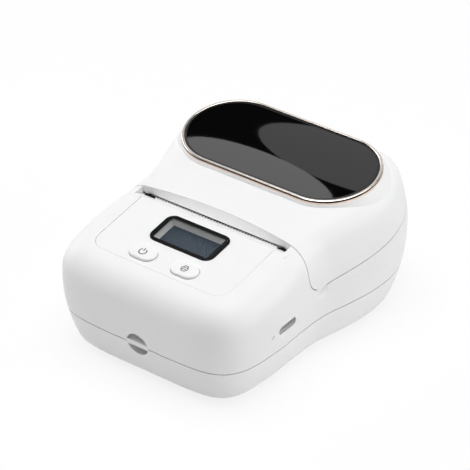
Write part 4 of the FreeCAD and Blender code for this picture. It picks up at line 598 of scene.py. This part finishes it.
def add_shade_wedge(name, x, length, lean):
    """A small wedge on the bar's front strip, low at the end that lean points to."""
    piece = start_block(name, length, WEDGE_DEPTH, WEDGE_HEIGHT)
    bpy.ops.object.mode_set(mode="OBJECT")
    choose_points(piece, lambda spot: spot.z > 0 and spot.x * lean > 0)
    bpy.ops.transform.translate(value=(0.0, 0.0, -WEDGE_FALL))
    bpy.ops.mesh.select_all(action="SELECT")
    bpy.ops.mesh.bevel(offset=WEDGE_ROUND, segments=2, affect="EDGES")
    bpy.ops.object.mode_set(mode="OBJECT")
    settle(piece, Matrix.Translation((x, mouth_y - WEDGE_DEPTH / 2, bar_high[2] + WEDGE_HEIGHT / 2)))
    return piece


shade_wedges = []
for side in (-1, 1):
    shade_wedges.append(add_shade_wedge("outer_shade_wedge", side * OUTER_WEDGE_X, OUTER_WEDGE_LENGTH, side))
    shade_wedges.append(add_shade_wedge("inner_shade_wedge", side * INNER_WEDGE_X, INNER_WEDGE_LENGTH, -side))
# The wedges take the black bezel finish as painted shade of the slot's ends
join_pieces("bar_end_shade_wedges", shade_wedges, "base", "bezel_black")


# Floor and world, brighter on the rays that show the background
FLOOR_SIZE = 8.0
FLOOR_DROP = 0.05 * MM
FLOOR_GREY = (0.93, 0.93, 0.93)
FLOOR_GLOW = 0.82
WORLD_LIGHT = 0.3
WORLD_SEEN = 1.25
WORLD_BANDS = (
    (0.0, (0.8, 0.8, 0.81)),
    (0.4, (0.78, 0.78, 0.79)),
    (0.56, (0.012, 0.012, 0.012)),
)


def seen_rays(tree):
    """1 on the rays that show the background: straight, mirrored or through something clear."""
    path = tree.nodes.new("ShaderNodeLightPath")
    seen = path.outputs["Is Camera Ray"]
    for ray in ("Is Glossy Ray", "Is Transmission Ray"):
        seen = math_step(tree, "MAXIMUM", seen, path.outputs[ray])
    return seen


def build_floor():
    bpy.ops.object.select_all(action="DESELECT")
    bpy.ops.mesh.primitive_plane_add(size=FLOOR_SIZE, location=(0.0, 0.0, -FLOOR_DROP))
    floor = name_new_piece("floor")
    material, tree, shader, place = start_material("pale_floor")
    speck = add_noise(tree, place, scale=30.0, detail=3.0)
    vary_colour(tree, shader, speck, FLOOR_GREY, spread=0.01)
    vary_roughness(tree, shader, speck, low=0.85, high=0.95)
    glow = tree.nodes.new("ShaderNodeEmission")
    glow.inputs["Color"].default_value = (1.0, 1.0, 1.0, 1.0)
    glow.inputs["Strength"].default_value = 1.0
    mix = tree.nodes.new("ShaderNodeMixShader")
    out = tree.nodes["Material Output"]
    tree.links.new(math_step(tree, "MULTIPLY", seen_rays(tree), FLOOR_GLOW), mix.inputs["Fac"])
    tree.links.new(shader.outputs["BSDF"], mix.inputs[1])
    tree.links.new(glow.outputs["Emission"], mix.inputs[2])
    tree.links.new(mix.outputs["Shader"], out.inputs["Surface"])
    floor.data.materials.append(material)


def build_world():
    """Pale below and low in the sky, and dark overhead, where the black oval mirrors it."""
    world = bpy.data.worlds.new("studio")
    bpy.context.scene.world = world
    world.use_nodes = True
    tree = world.node_tree
    back = tree.nodes["Background"]
    place = tree.nodes.new("ShaderNodeTexCoord")
    split = tree.nodes.new("ShaderNodeSeparateXYZ")
    tree.links.new(place.outputs["Generated"], split.inputs["Vector"])
    tree.links.new(colour_ramp(tree, split.outputs["Z"], WORLD_BANDS), back.inputs["Color"])
    strength = map_range(tree, seen_rays(tree), low=WORLD_LIGHT, high=WORLD_SEEN)
    tree.links.new(strength, back.inputs["Strength"])


# The photograph's view: from the front right, looking down
CAMERA_AZIMUTH = math.radians(36.79)
CAMERA_ELEVATION = math.radians(33.0)
CAMERA_PLACE = Vector((0.3858, -0.5182, 0.4459))
SENSOR_WIDTH = 36.0
LENS_LENGTH = 191.98
CLIP_NEAR = 0.05
CLIP_FAR = 50.0


def build_camera():
    right = Vector((math.cos(CAMERA_AZIMUTH), math.sin(CAMERA_AZIMUTH), 0.0))
    ahead = Vector((-right.y, right.x, 0.0))
    look = ahead * math.cos(CAMERA_ELEVATION)
    look.z = -math.sin(CAMERA_ELEVATION)
    turn = Matrix((right, right.cross(look), -look)).transposed().to_4x4()
    lens = bpy.data.cameras.new("camera")
    lens.sensor_width = SENSOR_WIDTH
    lens.lens = LENS_LENGTH
    lens.clip_start = CLIP_NEAR
    lens.clip_end = CLIP_FAR
    item = bpy.data.objects.new("camera", lens)
    bpy.context.scene.collection.objects.link(item)
    item.matrix_world = Matrix.Translation(CAMERA_PLACE) @ turn
    bpy.context.scene.camera = item


# Lamps: three large softboxes round the printer, and two small ones that the black oval mirrors
LAMP_TARGET = Vector((0.0, 0.0, 0.03))
MIRROR_DISTANCE = 1.0


def add_lamp(name, placing, width, height, level, shape):
    """An area lamp whose face has the given brightness."""
    lamp = bpy.data.lights.new(name, "AREA")
    lamp.shape = shape
    lamp.size = width
    lamp.size_y = height
    lamp.energy = level * math.pi * width * height
    item = bpy.data.objects.new(name, lamp)
    bpy.context.scene.collection.objects.link(item)
    item.matrix_world = placing


def add_softbox(name, place, width, height, level):
    """A rectangular lamp that looks at the printer."""
    aim = LAMP_TARGET - Vector(place)
    turn = aim.to_track_quat("-Z", "Y").to_matrix().to_4x4()
    add_lamp(name, Matrix.Translation(place) @ turn, width, height, level, "RECTANGLE")


def add_mirror_light(name, across, along, turn, width, height, level):
    """An oval lamp that the camera sees in the black plate, placed and turned as it looks there."""
    oval_middle = node_middle("lid_trim")
    way = (oval_middle - CAMERA_PLACE).normalized().reflect(SLOPE_NORMAL)
    level_side = way.cross(Vector((0.0, 0.0, 1.0))).normalized()
    up = level_side.cross(way)
    turned = level_side * math.cos(turn) + up * math.sin(turn)
    facing = Matrix((turned, way.cross(turned), way)).transposed().to_4x4()
    place = oval_middle + way * MIRROR_DISTANCE + level_side * across + up * along
    add_lamp(name, Matrix.Translation(place) @ facing, width, height, level, "ELLIPSE")


build_floor()
build_world()
build_camera()
add_softbox("top_softbox", place=(0.02, -0.06, 0.9), width=0.9, height=0.9, level=3.3)
add_softbox("right_softbox", place=(0.84, 0.42, 0.36), width=0.7, height=0.7, level=2.15)
add_softbox("left_softbox", place=(-0.9, 0.0, 0.45), width=0.7, height=0.6, level=2.1)
add_mirror_light("strip_light", across=-0.0711, along=0.0814, turn=math.radians(39), width=0.116,
                 height=0.152, level=1.3)
add_mirror_light("round_light", across=0.0642, along=-0.0107, turn=math.radians(132), width=0.19,
                 height=0.132, level=0.6)
bpy.context.scene.view_settings.view_transform = "Standard"
